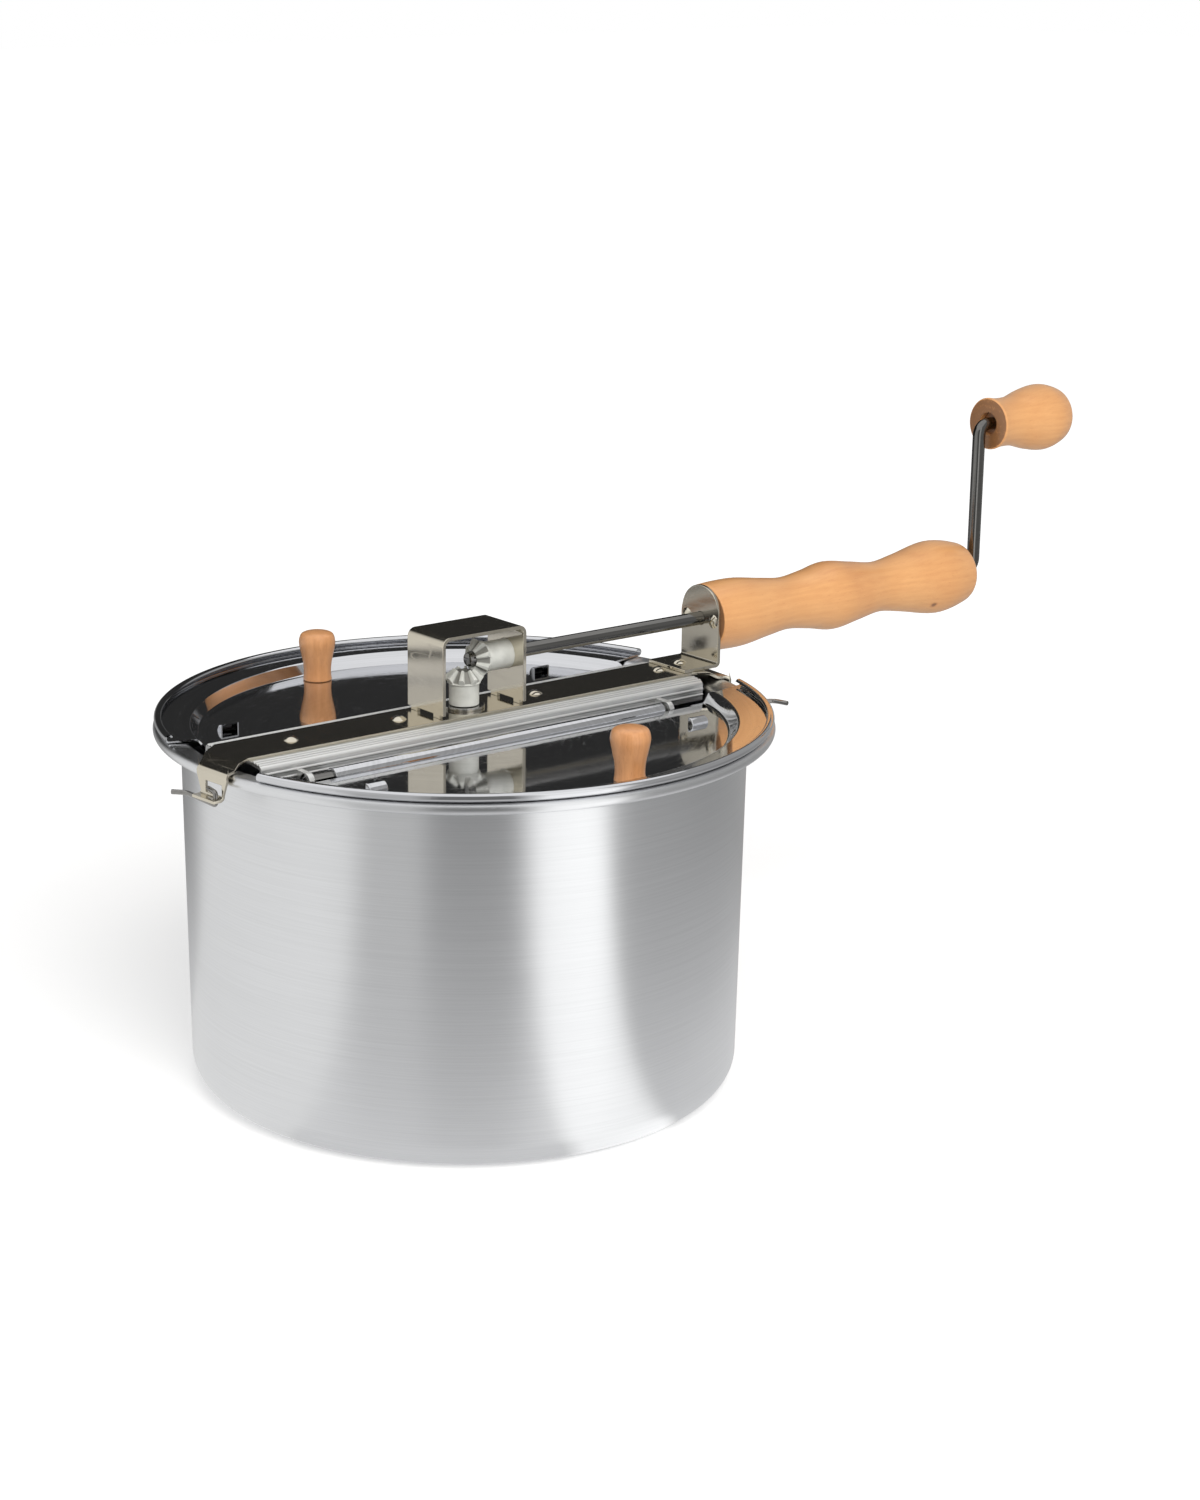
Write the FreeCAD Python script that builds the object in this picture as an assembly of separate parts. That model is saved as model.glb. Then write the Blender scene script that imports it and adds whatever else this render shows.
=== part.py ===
"""Stovetop popcorn popper: spun pan, two hinged lid halves on a cross rail, and a crank
whose mitre gears turn a stirring wire just above the pan's floor.

Millimetres, +Z up.  The origin is the centre of the pan's base, and +X runs to the handle.
"""
import FreeCAD, Part
import math
import os
from FreeCAD import Placement, Rotation, Vector

os.makedirs("parts", exist_ok=True)

# ---------------------------------------------------------------- driving dimensions
# Clearances
running_fit = 0.06           # radial, shaft in its bore
seat_gap = 0.3               # between pieces that rest on each other but move apart
bore_gap = 0.5               # radial, a screw or rod through a plain hole

# Pan
pan_sheet = 1.3
pan_base_radius = 114.0      # outside, at the base corner
pan_mouth_radius = 115.9     # outside, under the rim
pan_corner_radius = 12.0
pan_rim_radius = 127.0       # outermost, over the rolled bead
pan_bead_radius = 2.3
pan_bead_height = 150.7      # centre of the rolled bead
pan_flare_radius = 3.0
pan_flare_drop = 1.1         # the ledge rises by this much out to the bead

# Lid halves
lid_sheet = 0.7
lid_bead_radius = 1.7
lid_rim_radius = 126.5
lid_panel_radius = 108.5     # the flat, sunken panel
lid_sink = 7.2               # its face, below the middle of the bead
lid_step_run = 3.5           # width of the sloping step up to the flange
lid_flange_rise = 1.15       # the flange climbs this much out to its bead
lid_step_fillet = 1.6
lid_notch_half = 33.0        # flange cut back beside the cross strap
lid_vent_x = 80.5
lid_vent_y = 55.0
vent_hood_radius = 3.2
vent_length = 8.5
vent_wall = 0.6

# Hinges
hinge_line_y = 26.2
hinge_drop = 0.5             # hinge line below the panel's face
hinge_rod_radius = 2.0
hinge_roll_wall = 1.4
hinge_roll_length = 166.0
hinge_lug_length = 10.0
hinge_lug_gap = 2.4

# Cross rail and strap
rail_end_inset = 7.9         # each end of the rail, from the strap's joggle
rail_sheet = 1.5
rail_flat_half = 13.5
rail_half = 20.4
rail_over_rim = 2.1          # face the strap lies on, over the pan's bead
rail_shoulder_drop = 0.9
rail_depth = 9.0
rail_bend = 1.6
rib_radius = 0.8
rib_lines = (15.2, 18.0)     # raised beads along the shoulders
strap_width = 24.5
strap_sheet = 1.2
strap_bend = 2.2
strap_joggle_inset = 7.6     # the joggle starts this far inside the rim
strap_joggle_run = 3.4
tab_angle = 5.0              # each clip tab sits this far round the rim, to the front
tab_half_width = 9.4
tab_gap = 0.6                # tab to the pan's bead
tab_height = 10.6
tab_foot = 5.4
tab_taper = 2.4
tab_window_width = 10.2
tab_window_height = 4.6
tab_window_centre = 1.3      # from the tab's centre line, to the front

# Clips
clip_wire_radius = 1.0
clip_pivot_out = 1.5         # pivot to the tab's outer face
clip_pivot_along = 4.6       # pivot to the tab's centre line, to the front
clip_hook = 7.2              # reach of the hook under the bead
clip_hook_angle = 76.0       # at rest, away from straight in
clip_lever_angle = 85.0      # at rest, away from straight in
clip_lever = 20.0            # straight run under the tab's foot
clip_finger = 8.0
clip_finger_rise = 3.6
clip_bend = 1.4
clip_open_angle = 122.0      # the handle side's clip is swung out by this much

# Gear bracket
bracket_sheet = 1.6
bracket_width = 24.5
bracket_left = -19.6
bracket_right = 22.7
bracket_over_crank = 14.1    # bracket's top over the crank axis
bracket_bend = 3.6
bracket_foot_height = 1.5
bracket_foot_width = 4.5

# Gears
crank_over_strap = 19.6      # crank axis over the strap
gear_teeth = 8
gear_pitch_radius = 7.4
gear_addendum = 1.15
gear_dedendum = 1.45
gear_face = 5.2              # along the pitch cone
gear_tooth_share = 0.43      # of the pitch; the rest is space and backlash
gear_tip_share = 0.22
gear_root_share = 0.56
gear_hub_radius = 6.2
gear_hub_proud = 1.2         # hub's end past the bracket's right leg

# Stirrer
shaft_radius = 3.0
bush_flange_radius = 8.5
bush_flange = 1.2
bush_wall = 1.6
bush_length = 11.0
washer_thickness = 0.8
stirrer_wire_radius = 1.7
stirrer_clear = 2.5          # wire above the pan's floor
stirrer_reach = 101.0
stirrer_hook = 16.0
stirrer_bend = 7.0

# Crank
crank_rod_radius = 2.9
crank_arm_gap = 6.1          # grip's end to the middle of the crank arm
crank_arm = 67.5
crank_bend = 5.6
crank_knob_gap = 5.5         # middle of the crank arm to the knob's face
crank_knob_length = 47.0
crank_knob_radii = (12.0, 11.2, 11.5, 14.0, 15.3, 13.6)     # from its face to near its dome
crank_end_inset = 12.0       # rod's end inside the knob
crank_cap_radius = 4.6
crank_cap_thickness = 1.8

# Handle
handle_plate_inset = 0.2     # plate's face, inside the rim's outermost line
handle_sheet = 1.6
handle_width = 24.0
handle_head_rise = 2.6       # centre of the rounded head over the crank axis
handle_foot_length = 20.0
handle_bend = 2.4
grip_length = 159.2
grip_radii = (14.6, 15.1, 14.9, 12.9, 11.6, 13.2, 15.3, 13.4, 11.4, 13.4, 16.7, 14.6)
handle_screw_side = 8.6
handle_screw_radius = 3.0
screw_head_height = 1.4

# Lid knobs
knob_height = 22.0
knob_base_radius = 6.2
knob_x = 5.4
knob_y = 100.0
knob_screw_radius = 1.8
knob_screw_depth = 14.0
knob_washer_radius = 5.0

# Rivets
rivet_radius = 3.2
rivet_head = 1.5
rivet_shank_radius = 1.6
rivet_tail = 2.4
rivet_tail_height = 1.0
left_rivet_inset = 34.9      # from the strap's left joggle
right_rivet_inset = 15.5     # from its right joggle
left_foot_to_rivet = 13.1    # from the gear bracket's legs
right_foot_to_rivet = 14.0
handle_rivet_inset = 4.0     # from the strap's joggle

# ---------------------------------------------------------------- sizes worked out
strap_half = strap_width / 2
pan_bead_centre = pan_rim_radius - pan_bead_radius
pan_bead_top = pan_bead_height + pan_bead_radius
rail_top = pan_bead_top + rail_over_rim
strap_top = rail_top + strap_sheet
strap_joggle_start = pan_rim_radius - strap_joggle_inset
handle_rivet_x = strap_joggle_start - handle_rivet_inset
rivet_stations = (left_rivet_inset - strap_joggle_start, bracket_left - left_foot_to_rivet,
                  bracket_right + right_foot_to_rivet, strap_joggle_start - right_rivet_inset)
rail_length = 2 * (strap_joggle_start - rail_end_inset)
pan_curl = pan_bead_radius - pan_sheet
ledge_height = pan_bead_height + pan_curl
lid_curl = lid_bead_radius - lid_sheet
lid_bead_centre = lid_rim_radius - lid_bead_radius
lid_bead_height = pan_bead_top + seat_gap + lid_bead_radius
lid_panel_height = lid_bead_height - lid_sink
hinge_line_z = lid_panel_height - hinge_drop
hinge_bore = hinge_rod_radius + running_fit
hinge_roll_radius = hinge_bore + hinge_roll_wall
lug_inner = hinge_roll_length / 2 + hinge_lug_gap
lug_outer = lug_inner + hinge_lug_length
tab_inner = pan_rim_radius + tab_gap
tab_outer = tab_inner + strap_sheet
tab_seat = pan_bead_top + seat_gap
tab_bottom = tab_seat - tab_height
clip_pivot_radius = tab_outer + clip_pivot_out
clip_low = tab_bottom - clip_wire_radius - seat_gap
clip_high = pan_bead_height - pan_bead_radius - clip_wire_radius - seat_gap
stirrer_height = pan_sheet + stirrer_clear + stirrer_wire_radius
knob_bottom = lid_panel_height
crank_axis_height = strap_top + crank_over_strap
bracket_top = crank_axis_height + bracket_over_crank
handle_plate_x = pan_rim_radius - handle_plate_inset
handle_end_x = handle_plate_x + handle_sheet + grip_length
crank_arm_x = handle_end_x + crank_arm_gap
crank_knob_face = crank_arm_x + crank_knob_gap
handle_top_centre = crank_axis_height + handle_head_rise
knob_axis_height = crank_axis_height + crank_arm

X_AXIS = Vector(1, 0, 0)
Y_AXIS = Vector(0, 1, 0)
Z_AXIS = Vector(0, 0, 1)
ORIGIN = Vector(0, 0, 0)
IN_XZ = Placement(ORIGIN, Rotation(X_AXIS, 90))               # a flat outline's y turns up
IN_YZ = Placement(ORIGIN, Rotation(Vector(1, 1, 1), 120))     # its x turns to +Y and its y up
BIG = 400.0


# ---------------------------------------------------------------- helpers
def save(name, *solids):
    """Write one node, as a single solid or a group of separate ones."""
    found = [piece for solid in solids for piece in solid.Solids]
    shape = found[0] if len(found) == 1 else Part.makeCompound(found)
    shape.exportStep("parts/" + name + ".step")


def bent_path(points, radii):
    """Straight runs with a tangent arc at each inner point, as (start, middle, end, centre)."""
    path = []
    start = points[0]
    for before, corner, after, radius in zip(points, points[1:], points[2:], radii):
        back = (before - corner).normalize()
        onward = (after - corner).normalize()
        half_angle = back.getAngle(onward) / 2
        set_back = radius / math.tan(half_angle)
        first = corner + back * set_back
        last = corner + onward * set_back
        centre = corner + (back + onward).normalize() * (radius / math.sin(half_angle))
        middle = centre + (corner - centre).normalize() * radius
        if (first - start).Length > 1e-6:
            path.append((start, None, first, None))
        path.append((first, middle, last, centre))
        start = last
    path.append((start, None, points[-1], None))
    return path


def path_edges(path):
    return [Part.Arc(start, middle, end).toShape() if middle else Part.makeLine(start, end)
            for start, middle, end, _ in path]


def beside(path, offset):
    """The parallel path, offset to the left in the XY plane."""
    moved = []
    for start, middle, end, centre in path:
        if middle is None:
            left = Z_AXIS.cross((end - start).normalize()) * offset
            moved.append((start + left, None, end + left, None))
        else:
            radius = (start - centre).Length
            turn = 1 if (middle - start).cross(end - middle).z > 0 else -1
            scale = (radius - turn * offset) / radius
            points = [centre + (p - centre) * scale for p in (start, middle, end)]
            moved.append((points[0], points[1], points[2], centre))
    return moved


def sheet_face(path, thickness, upright):
    """Section of a bent sheet, thickness to the path's left, stood up by the given placement."""
    other = beside(path, thickness)
    edges = path_edges(path) + path_edges(other)
    edges.append(Part.makeLine(path[0][0], other[0][0]))
    edges.append(Part.makeLine(path[-1][2], other[-1][2]))
    face = Part.Face(Part.Wire(Part.__sortEdges__(edges)))
    face.Placement = upright
    return face


def rolled_edge(start, centre, radius, turn, sweep):
    """End of the line from start that just meets a circle, and the arc that rolls round it.

    turn is +1 to roll to the left of the line and -1 to roll to its right.
    """
    away = centre - start
    heading = math.atan2(away.y, away.x) - turn * math.asin(radius / away.Length)
    run = math.sqrt(away.Length ** 2 - radius ** 2)
    first = start + Vector(math.cos(heading), math.sin(heading), 0) * run

    def at(degrees):
        theta = heading - turn * math.pi / 2 + turn * math.radians(degrees)
        return centre + Vector(math.cos(theta), math.sin(theta), 0) * radius
    return first, (first, at(sweep / 2), at(sweep), centre)


def swept_rod(points, radii, radius):
    """Round wire along straight runs and tangent arcs."""
    path = Part.Wire(path_edges(bent_path(points, radii)))
    start = (points[1] - points[0]).normalize()
    section = Part.Wire(Part.makeCircle(radius, points[0], start))
    return path.makePipeShell([section], True, False)


def turned(stations, radii, end):
    """Turned wood along +X: a flat face at 0, a flowing outline and a domed end."""
    points = [Vector(x, r) for x, r in zip(stations, radii)]
    crown = end - stations[-1]
    for lean in (35, 65):
        swing = math.radians(lean)
        points.append(Vector(end - crown * (1 - math.sin(swing)), radii[-1] * math.cos(swing)))
    points.append(Vector(end, 0))
    outline = Part.BSplineCurve()
    outline.interpolate(Points=points, FinalTangent=Vector(0, -1, 0))
    edges = [Part.makeLine(ORIGIN, points[0]), outline.toShape(), Part.makeLine(points[-1], ORIGIN)]
    return Part.Face(Part.Wire(edges)).revolve(ORIGIN, X_AXIS, 360)


def tube(outer, inner, length, start, direction):
    """A straight round tube."""
    shell = Part.makeCylinder(outer, length, start, direction)
    return shell.cut(Part.makeCylinder(inner, length, start, direction))


def rod(radius, length, start, direction):
    return Part.makeCylinder(radius, length, start, direction)


def block(x0, x1, y0, y1, z0, z1):
    return Part.makeBox(x1 - x0, y1 - y0, z1 - z0, Vector(x0, y0, z0))


def half_turn(shape):
    """The same piece, turned half round the Z axis."""
    copy = shape.copy()
    copy.rotate(ORIGIN, Z_AXIS, 180)
    return copy


def dome_head(radius, height, base, direction):
    """A low spherical rivet or screw head standing on base."""
    ball = (radius ** 2 + height ** 2) / (2 * height)
    sphere = Part.makeSphere(ball, base + direction * (height - ball))
    keep = Part.makeCylinder(radius * 1.2, height * 1.5, base, direction)
    return sphere.common(keep)


# ---------------------------------------------------------------- pan
def make_pan():
    """Spun aluminium: floor, leaning wall, narrow ledge and a rim rolled outwards."""
    ledge_start = Vector(pan_mouth_radius, ledge_height - pan_flare_drop)
    bead = Vector(pan_bead_centre, pan_bead_height)
    ledge_end, roll = rolled_edge(ledge_start, bead, pan_curl, -1, 245)
    path = bent_path(
        [ORIGIN, Vector(pan_base_radius, 0), ledge_start, ledge_end],
        [pan_corner_radius, pan_flare_radius])
    return sheet_face(path + [roll], pan_sheet, IN_XZ).revolve(ORIGIN, Z_AXIS, 360)


# ---------------------------------------------------------------- lid half
def lid_profile():
    """Radial section of the lid: sunken panel, sloping step, flange and rolled bead."""
    flange_start = Vector(lid_panel_radius + lid_step_run,
                          lid_bead_height - lid_curl - lid_flange_rise)
    bead = Vector(lid_bead_centre, lid_bead_height)
    flange_end, roll = rolled_edge(flange_start, bead, lid_curl, 1, 245)
    path = bent_path(
        [Vector(0, lid_panel_height), Vector(lid_panel_radius, lid_panel_height),
         flange_start, flange_end],
        [lid_step_fillet, lid_step_fillet])
    return sheet_face(path + [roll], -lid_sheet, IN_XZ)


def vent(x, y, side):
    """A louvre punched up from the panel: a half-round hood, open towards the rim."""
    start = Vector(x - vent_length / 2, y, lid_panel_height)
    hood = rod(vent_hood_radius, vent_length, start, X_AXIS)
    hollow = rod(vent_hood_radius - vent_wall, vent_length - 2 * vent_wall,
                 start + X_AXIS * vent_wall, X_AXIS)
    mouth = block(x - vent_length, x + vent_length, min(y, y + side * 9), max(y, y + side * 9),
                  lid_panel_height - 9, lid_panel_height + 9)
    above = block(x - vent_length, x + vent_length, y - 9, y + 9,
                  lid_panel_height - lid_sheet / 2, lid_panel_height + 9)
    slot_edge = y - side * (vent_hood_radius - vent_wall)
    slot = block(x - vent_length / 2 + vent_wall, x + vent_length / 2 - vent_wall,
                 min(y, slot_edge), max(y, slot_edge),
                 lid_panel_height - 2 * lid_sheet, lid_panel_height + lid_sheet)
    return hood.cut(hollow).cut(mouth).common(above), slot


def make_lid():
    """Front half of the lid (towards -Y), with its rolled hinge barrel."""
    disc = lid_profile().revolve(ORIGIN, Z_AXIS, 360)
    edge = -hinge_line_y - hinge_bore - hinge_roll_wall / 2
    disc = disc.common(block(-BIG, BIG, -BIG, edge, 0, BIG))
    step_out = lid_panel_radius - 1.0
    for x0, x1 in ((-BIG, -step_out), (step_out, BIG)):
        disc = disc.cut(block(x0, x1, -lid_notch_half, 0, 0, BIG))
    barrel_start = Vector(-hinge_roll_length / 2, -hinge_line_y, hinge_line_z)
    barrel = tube(hinge_roll_radius, hinge_bore, hinge_roll_length, barrel_start, X_AXIS)
    lug_room = hinge_roll_radius + 1.0
    lid = disc.fuse(barrel)
    for side in (-1, 1):
        x0 = side * hinge_roll_length / 2
        x1 = side * (lug_outer + 1.5)
        lid = lid.cut(block(min(x0, x1), max(x0, x1), -hinge_line_y - lug_room, 0, 0, BIG))
    for x in (-lid_vent_x, lid_vent_x):
        hood, slot = vent(x, -lid_vent_y, -1)
        lid = lid.cut(slot).fuse(hood)
    hole = rod(knob_screw_radius + bore_gap, 10, Vector(knob_x, -knob_y, lid_panel_height - 5), Z_AXIS)
    return lid.cut(hole).removeSplitter()


# ---------------------------------------------------------------- lid knob and its screw
def make_lid_knob():
    """Turned beech knob: narrow foot, swelling head and a crowned top."""
    radii = (1.0, 0.93, 0.99, 1.2, 1.34, 1.27)
    heights = (0.0, 0.16, 0.34, 0.56, 0.74, 0.88)
    knob = turned([h * knob_height for h in heights], [r * knob_base_radius for r in radii],
                  knob_height)
    knob.rotate(ORIGIN, Y_AXIS, -90)
    knob.translate(Vector(knob_x, -knob_y, knob_bottom))
    hole = rod(knob_screw_radius, knob_screw_depth, Vector(knob_x, -knob_y, knob_bottom), Z_AXIS)
    return knob.cut(hole)


def make_knob_screw():
    """Screw up through the panel into the knob, with its washer's seat under the sheet."""
    under = lid_panel_height - lid_sheet - washer_thickness
    foot = Vector(knob_x, -knob_y, under)
    head = dome_head(knob_washer_radius * 0.72, 1.8, foot, Vector(0, 0, -1))
    shank = rod(knob_screw_radius, lid_panel_height + knob_screw_depth - under, foot, Z_AXIS)
    return head.fuse(shank)


def make_knob_washer():
    start = Vector(knob_x, -knob_y, lid_panel_height - lid_sheet - washer_thickness)
    return tube(knob_washer_radius, knob_screw_radius, washer_thickness, start, Z_AXIS)


# ---------------------------------------------------------------- cross rail
def make_rail():
    """Roll-formed aluminium rail: flat top, ribbed shoulders, deep sides and hinge lugs."""
    side_foot = rail_top - rail_depth
    half = [Vector(rail_flat_half, rail_top),
            Vector(rail_half, rail_top - rail_shoulder_drop), Vector(rail_half, side_foot)]
    points = [Vector(-p.x, p.y) for p in reversed(half)] + half
    channel = sheet_face(bent_path(points, [rail_bend, 4.0, 4.0, rail_bend]), -rail_sheet, IN_YZ)
    start = -rail_length / 2
    channel.translate(Vector(start, 0, 0))
    rail = channel.extrude(Vector(rail_length, 0, 0))
    slope = rail_shoulder_drop / (rail_half - rail_flat_half)
    for line in rib_lines:
        height = rail_top - (line - rail_flat_half) * slope - rib_radius * 0.45
        for side in (-1, 1):
            bead = rod(rib_radius, rail_length, Vector(start, side * line, height), X_AXIS)
            rail = rail.fuse(bead)
    side_rib = Vector(start, 0, side_foot + rail_depth * 0.42)
    for side in (-1, 1):
        bead = rod(rib_radius, rail_length,
                   side_rib + Y_AXIS * side * (rail_half - rib_radius * 0.35), X_AXIS)
        rail = rail.fuse(bead)
    web_top = hinge_line_z + hinge_roll_radius
    for side in (-1, 1):
        for end in (-1, 1):
            x0 = min(end * lug_inner, end * lug_outer)
            y_wall = side * (rail_half - rail_sheet)
            y_lug = side * hinge_line_y
            knuckle = rod(hinge_roll_radius, hinge_lug_length, Vector(x0, y_lug, hinge_line_z), X_AXIS)
            web = block(x0, x0 + hinge_lug_length, min(y_wall, y_lug), max(y_wall, y_lug),
                        web_top - rail_sheet, web_top)
            pin_hole = rod(hinge_rod_radius, BIG, Vector(-BIG / 2, y_lug, hinge_line_z), X_AXIS)
            rail = rail.fuse(knuckle).fuse(web).cut(pin_hole)
    rail = rail.cut(rod(shaft_radius + running_fit + bush_wall, BIG, ORIGIN, Z_AXIS))
    for x in rivet_stations:
        rail = rail.cut(rod(rivet_shank_radius, BIG, Vector(x, 0, 0), Z_AXIS))
    return rail.removeSplitter()


def make_hinge_rod():
    """Steel rod through one lid's barrel, held in the rail's lugs."""
    return rod(hinge_rod_radius, 2 * lug_outer, Vector(-lug_outer, -hinge_line_y, hinge_line_z), X_AXIS)


# ---------------------------------------------------------------- cross strap
def strap_end_path():
    """Underside of one strap end: joggle down, over the rim, down outside it and out."""
    return bent_path(
        [Vector(strap_joggle_start - 2 * strap_half, rail_top),
         Vector(strap_joggle_start, rail_top),
         Vector(strap_joggle_start + strap_joggle_run, tab_seat),
         Vector(tab_inner, tab_seat),
         Vector(tab_inner, tab_bottom),
         Vector(tab_inner + tab_foot, tab_bottom)],
        [1.4, 1.4, strap_bend - strap_sheet, strap_bend])


def round_the_rim(shape):
    """From the X axis to the clip tab's place on the rim, towards the front."""
    shape.rotate(ORIGIN, Z_AXIS, -tab_angle)
    return shape


def make_strap_end():
    """Right end of the strap: it narrows and turns to the front, into the clip's tab."""
    low = tab_bottom - 1.0
    face = sheet_face(strap_end_path(), strap_sheet, IN_XZ)
    face.translate(Vector(0, -2 * strap_half, 0))
    sheet = round_the_rim(face.extrude(Vector(0, 4 * strap_half, 0)))

    along = math.radians(-tab_angle)
    outward = Vector(math.cos(along), math.sin(along), 0)
    front = Vector(math.sin(along), -math.cos(along), 0)
    seat = outward * (strap_joggle_start + strap_joggle_run)
    far = outward * (tab_outer + 2 * tab_foot)
    corners = [Vector(strap_joggle_start - 16, -strap_half), Vector(strap_joggle_start - 7, -strap_half),
               seat + front * (tab_half_width - 2.0), outward * tab_inner + front * tab_half_width,
               far + front * tab_half_width, far - front * tab_half_width,
               outward * tab_inner - front * tab_half_width, seat - front * (tab_half_width + 4.5),
               Vector(strap_joggle_start - 7, strap_half), Vector(strap_joggle_start - 16, strap_half)]
    outline = Part.Face(Part.makePolygon(corners + corners[:1]))
    outline.translate(Vector(0, 0, low))
    end = sheet.common(outline.extrude(Vector(0, 0, 30)))

    knee = tab_seat - strap_bend
    for side in (-1, 1):
        edge = side * tab_half_width
        foot = side * (tab_half_width - tab_taper)
        corner = [Vector(0, edge, knee), Vector(0, foot, tab_bottom + strap_bend),
                  Vector(0, foot, low), Vector(0, 2 * edge, low), Vector(0, 2 * edge, knee)]
        wedge = Part.Face(Part.makePolygon(corner + corner[:1])).extrude(Vector(BIG, 0, 0))
        end = end.cut(round_the_rim(wedge))
    window = block(tab_inner - 1, tab_outer + 1,
                   -tab_window_centre - tab_window_width / 2, -tab_window_centre + tab_window_width / 2,
                   clip_high - 1.4 - clip_wire_radius, clip_high + tab_window_height - 2.4)
    pivot_hole = rod(clip_wire_radius + running_fit, 10,
                     Vector(clip_pivot_radius, -clip_pivot_along, low - 4), Z_AXIS)
    return end.cut(round_the_rim(window)).cut(round_the_rim(pivot_hole))


def make_strap():
    """The whole strap: a straight run and two mirrored ends, drilled for bush and rivets."""
    run = strap_joggle_start - 12
    right = make_strap_end()
    strap = block(-run, run, -strap_half, strap_half, rail_top, strap_top)
    strap = strap.fuse([right, right.mirror(ORIGIN, X_AXIS)]).removeSplitter()
    strap = strap.cut(rod(shaft_radius + running_fit + bush_wall, BIG, ORIGIN, Z_AXIS))
    for x in rivet_stations + (handle_rivet_x,):
        strap = strap.cut(rod(rivet_shank_radius, BIG, Vector(x, 0, 0), Z_AXIS))
    return strap


def rivet(x, head_seat, tail_seat):
    """A domed rivet, clenched under the sheet it holds."""
    seat = Vector(x, 0, head_seat)
    foot = Vector(x, 0, tail_seat)
    body = rod(rivet_shank_radius, head_seat - tail_seat, foot, Z_AXIS)
    head = dome_head(rivet_radius, rivet_head, seat, Z_AXIS)
    tail = dome_head(rivet_tail, rivet_tail_height, foot, Vector(0, 0, -1))
    return head.fuse(body).fuse(tail)


# ---------------------------------------------------------------- clip wire
def make_clip():
    """Spring wire on the left tab: hook through the window, pivot leg, lever and finger.

    The lever lies under the tab's foot.  Pushed in to the pan, it turns the hook in
    under the bead.
    """
    def out(degrees, distance, height):
        swing = math.radians(degrees)
        return Vector(distance * math.cos(swing), distance * math.sin(swing), height)

    finger = clip_lever + clip_finger
    lift = clip_low + clip_finger_rise
    points = [out(clip_hook_angle, clip_hook, clip_high), Vector(0, 0, clip_high),
              Vector(0, 0, clip_low), out(clip_lever_angle, clip_lever, clip_low),
              out(clip_lever_angle + 3, clip_lever + clip_finger * 0.55, lift),
              out(clip_lever_angle + 9, finger, lift)]
    wire = swept_rod(points, [clip_bend, clip_bend, 4.0, 3.0], clip_wire_radius)
    return wire


def on_tab(wire):
    """From the origin to the pivot of the left tab."""
    wire.translate(Vector(-clip_pivot_radius, -clip_pivot_along, 0))
    wire.rotate(ORIGIN, Z_AXIS, tab_angle)
    return wire


# ---------------------------------------------------------------- gear bracket
def make_bracket():
    """Inverted U of plated strip on four short feet, bored for the drive gear's hub."""
    leg_foot = strap_top + bracket_foot_height
    points = [Vector(bracket_left, leg_foot), Vector(bracket_left, bracket_top),
              Vector(bracket_right, bracket_top), Vector(bracket_right, leg_foot)]
    face = sheet_face(bent_path(points, [bracket_bend, bracket_bend]), -bracket_sheet, IN_XZ)
    face.translate(Vector(0, -bracket_width / 2, 0))
    bracket = face.extrude(Vector(0, bracket_width, 0))
    for x in (bracket_left, bracket_right - bracket_sheet):
        for side in (-1, 1):
            centre = side * (bracket_width / 2 - bracket_foot_width)
            foot = block(x, x + bracket_sheet, centre - bracket_foot_width / 2,
                         centre + bracket_foot_width / 2, strap_top, leg_foot)
            bracket = bracket.fuse(foot)
    bore = rod(gear_hub_radius + running_fit, 20,
               Vector(bracket_right - 10, 0, crank_axis_height), X_AXIS)
    return bracket.cut(bore).removeSplitter()


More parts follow.
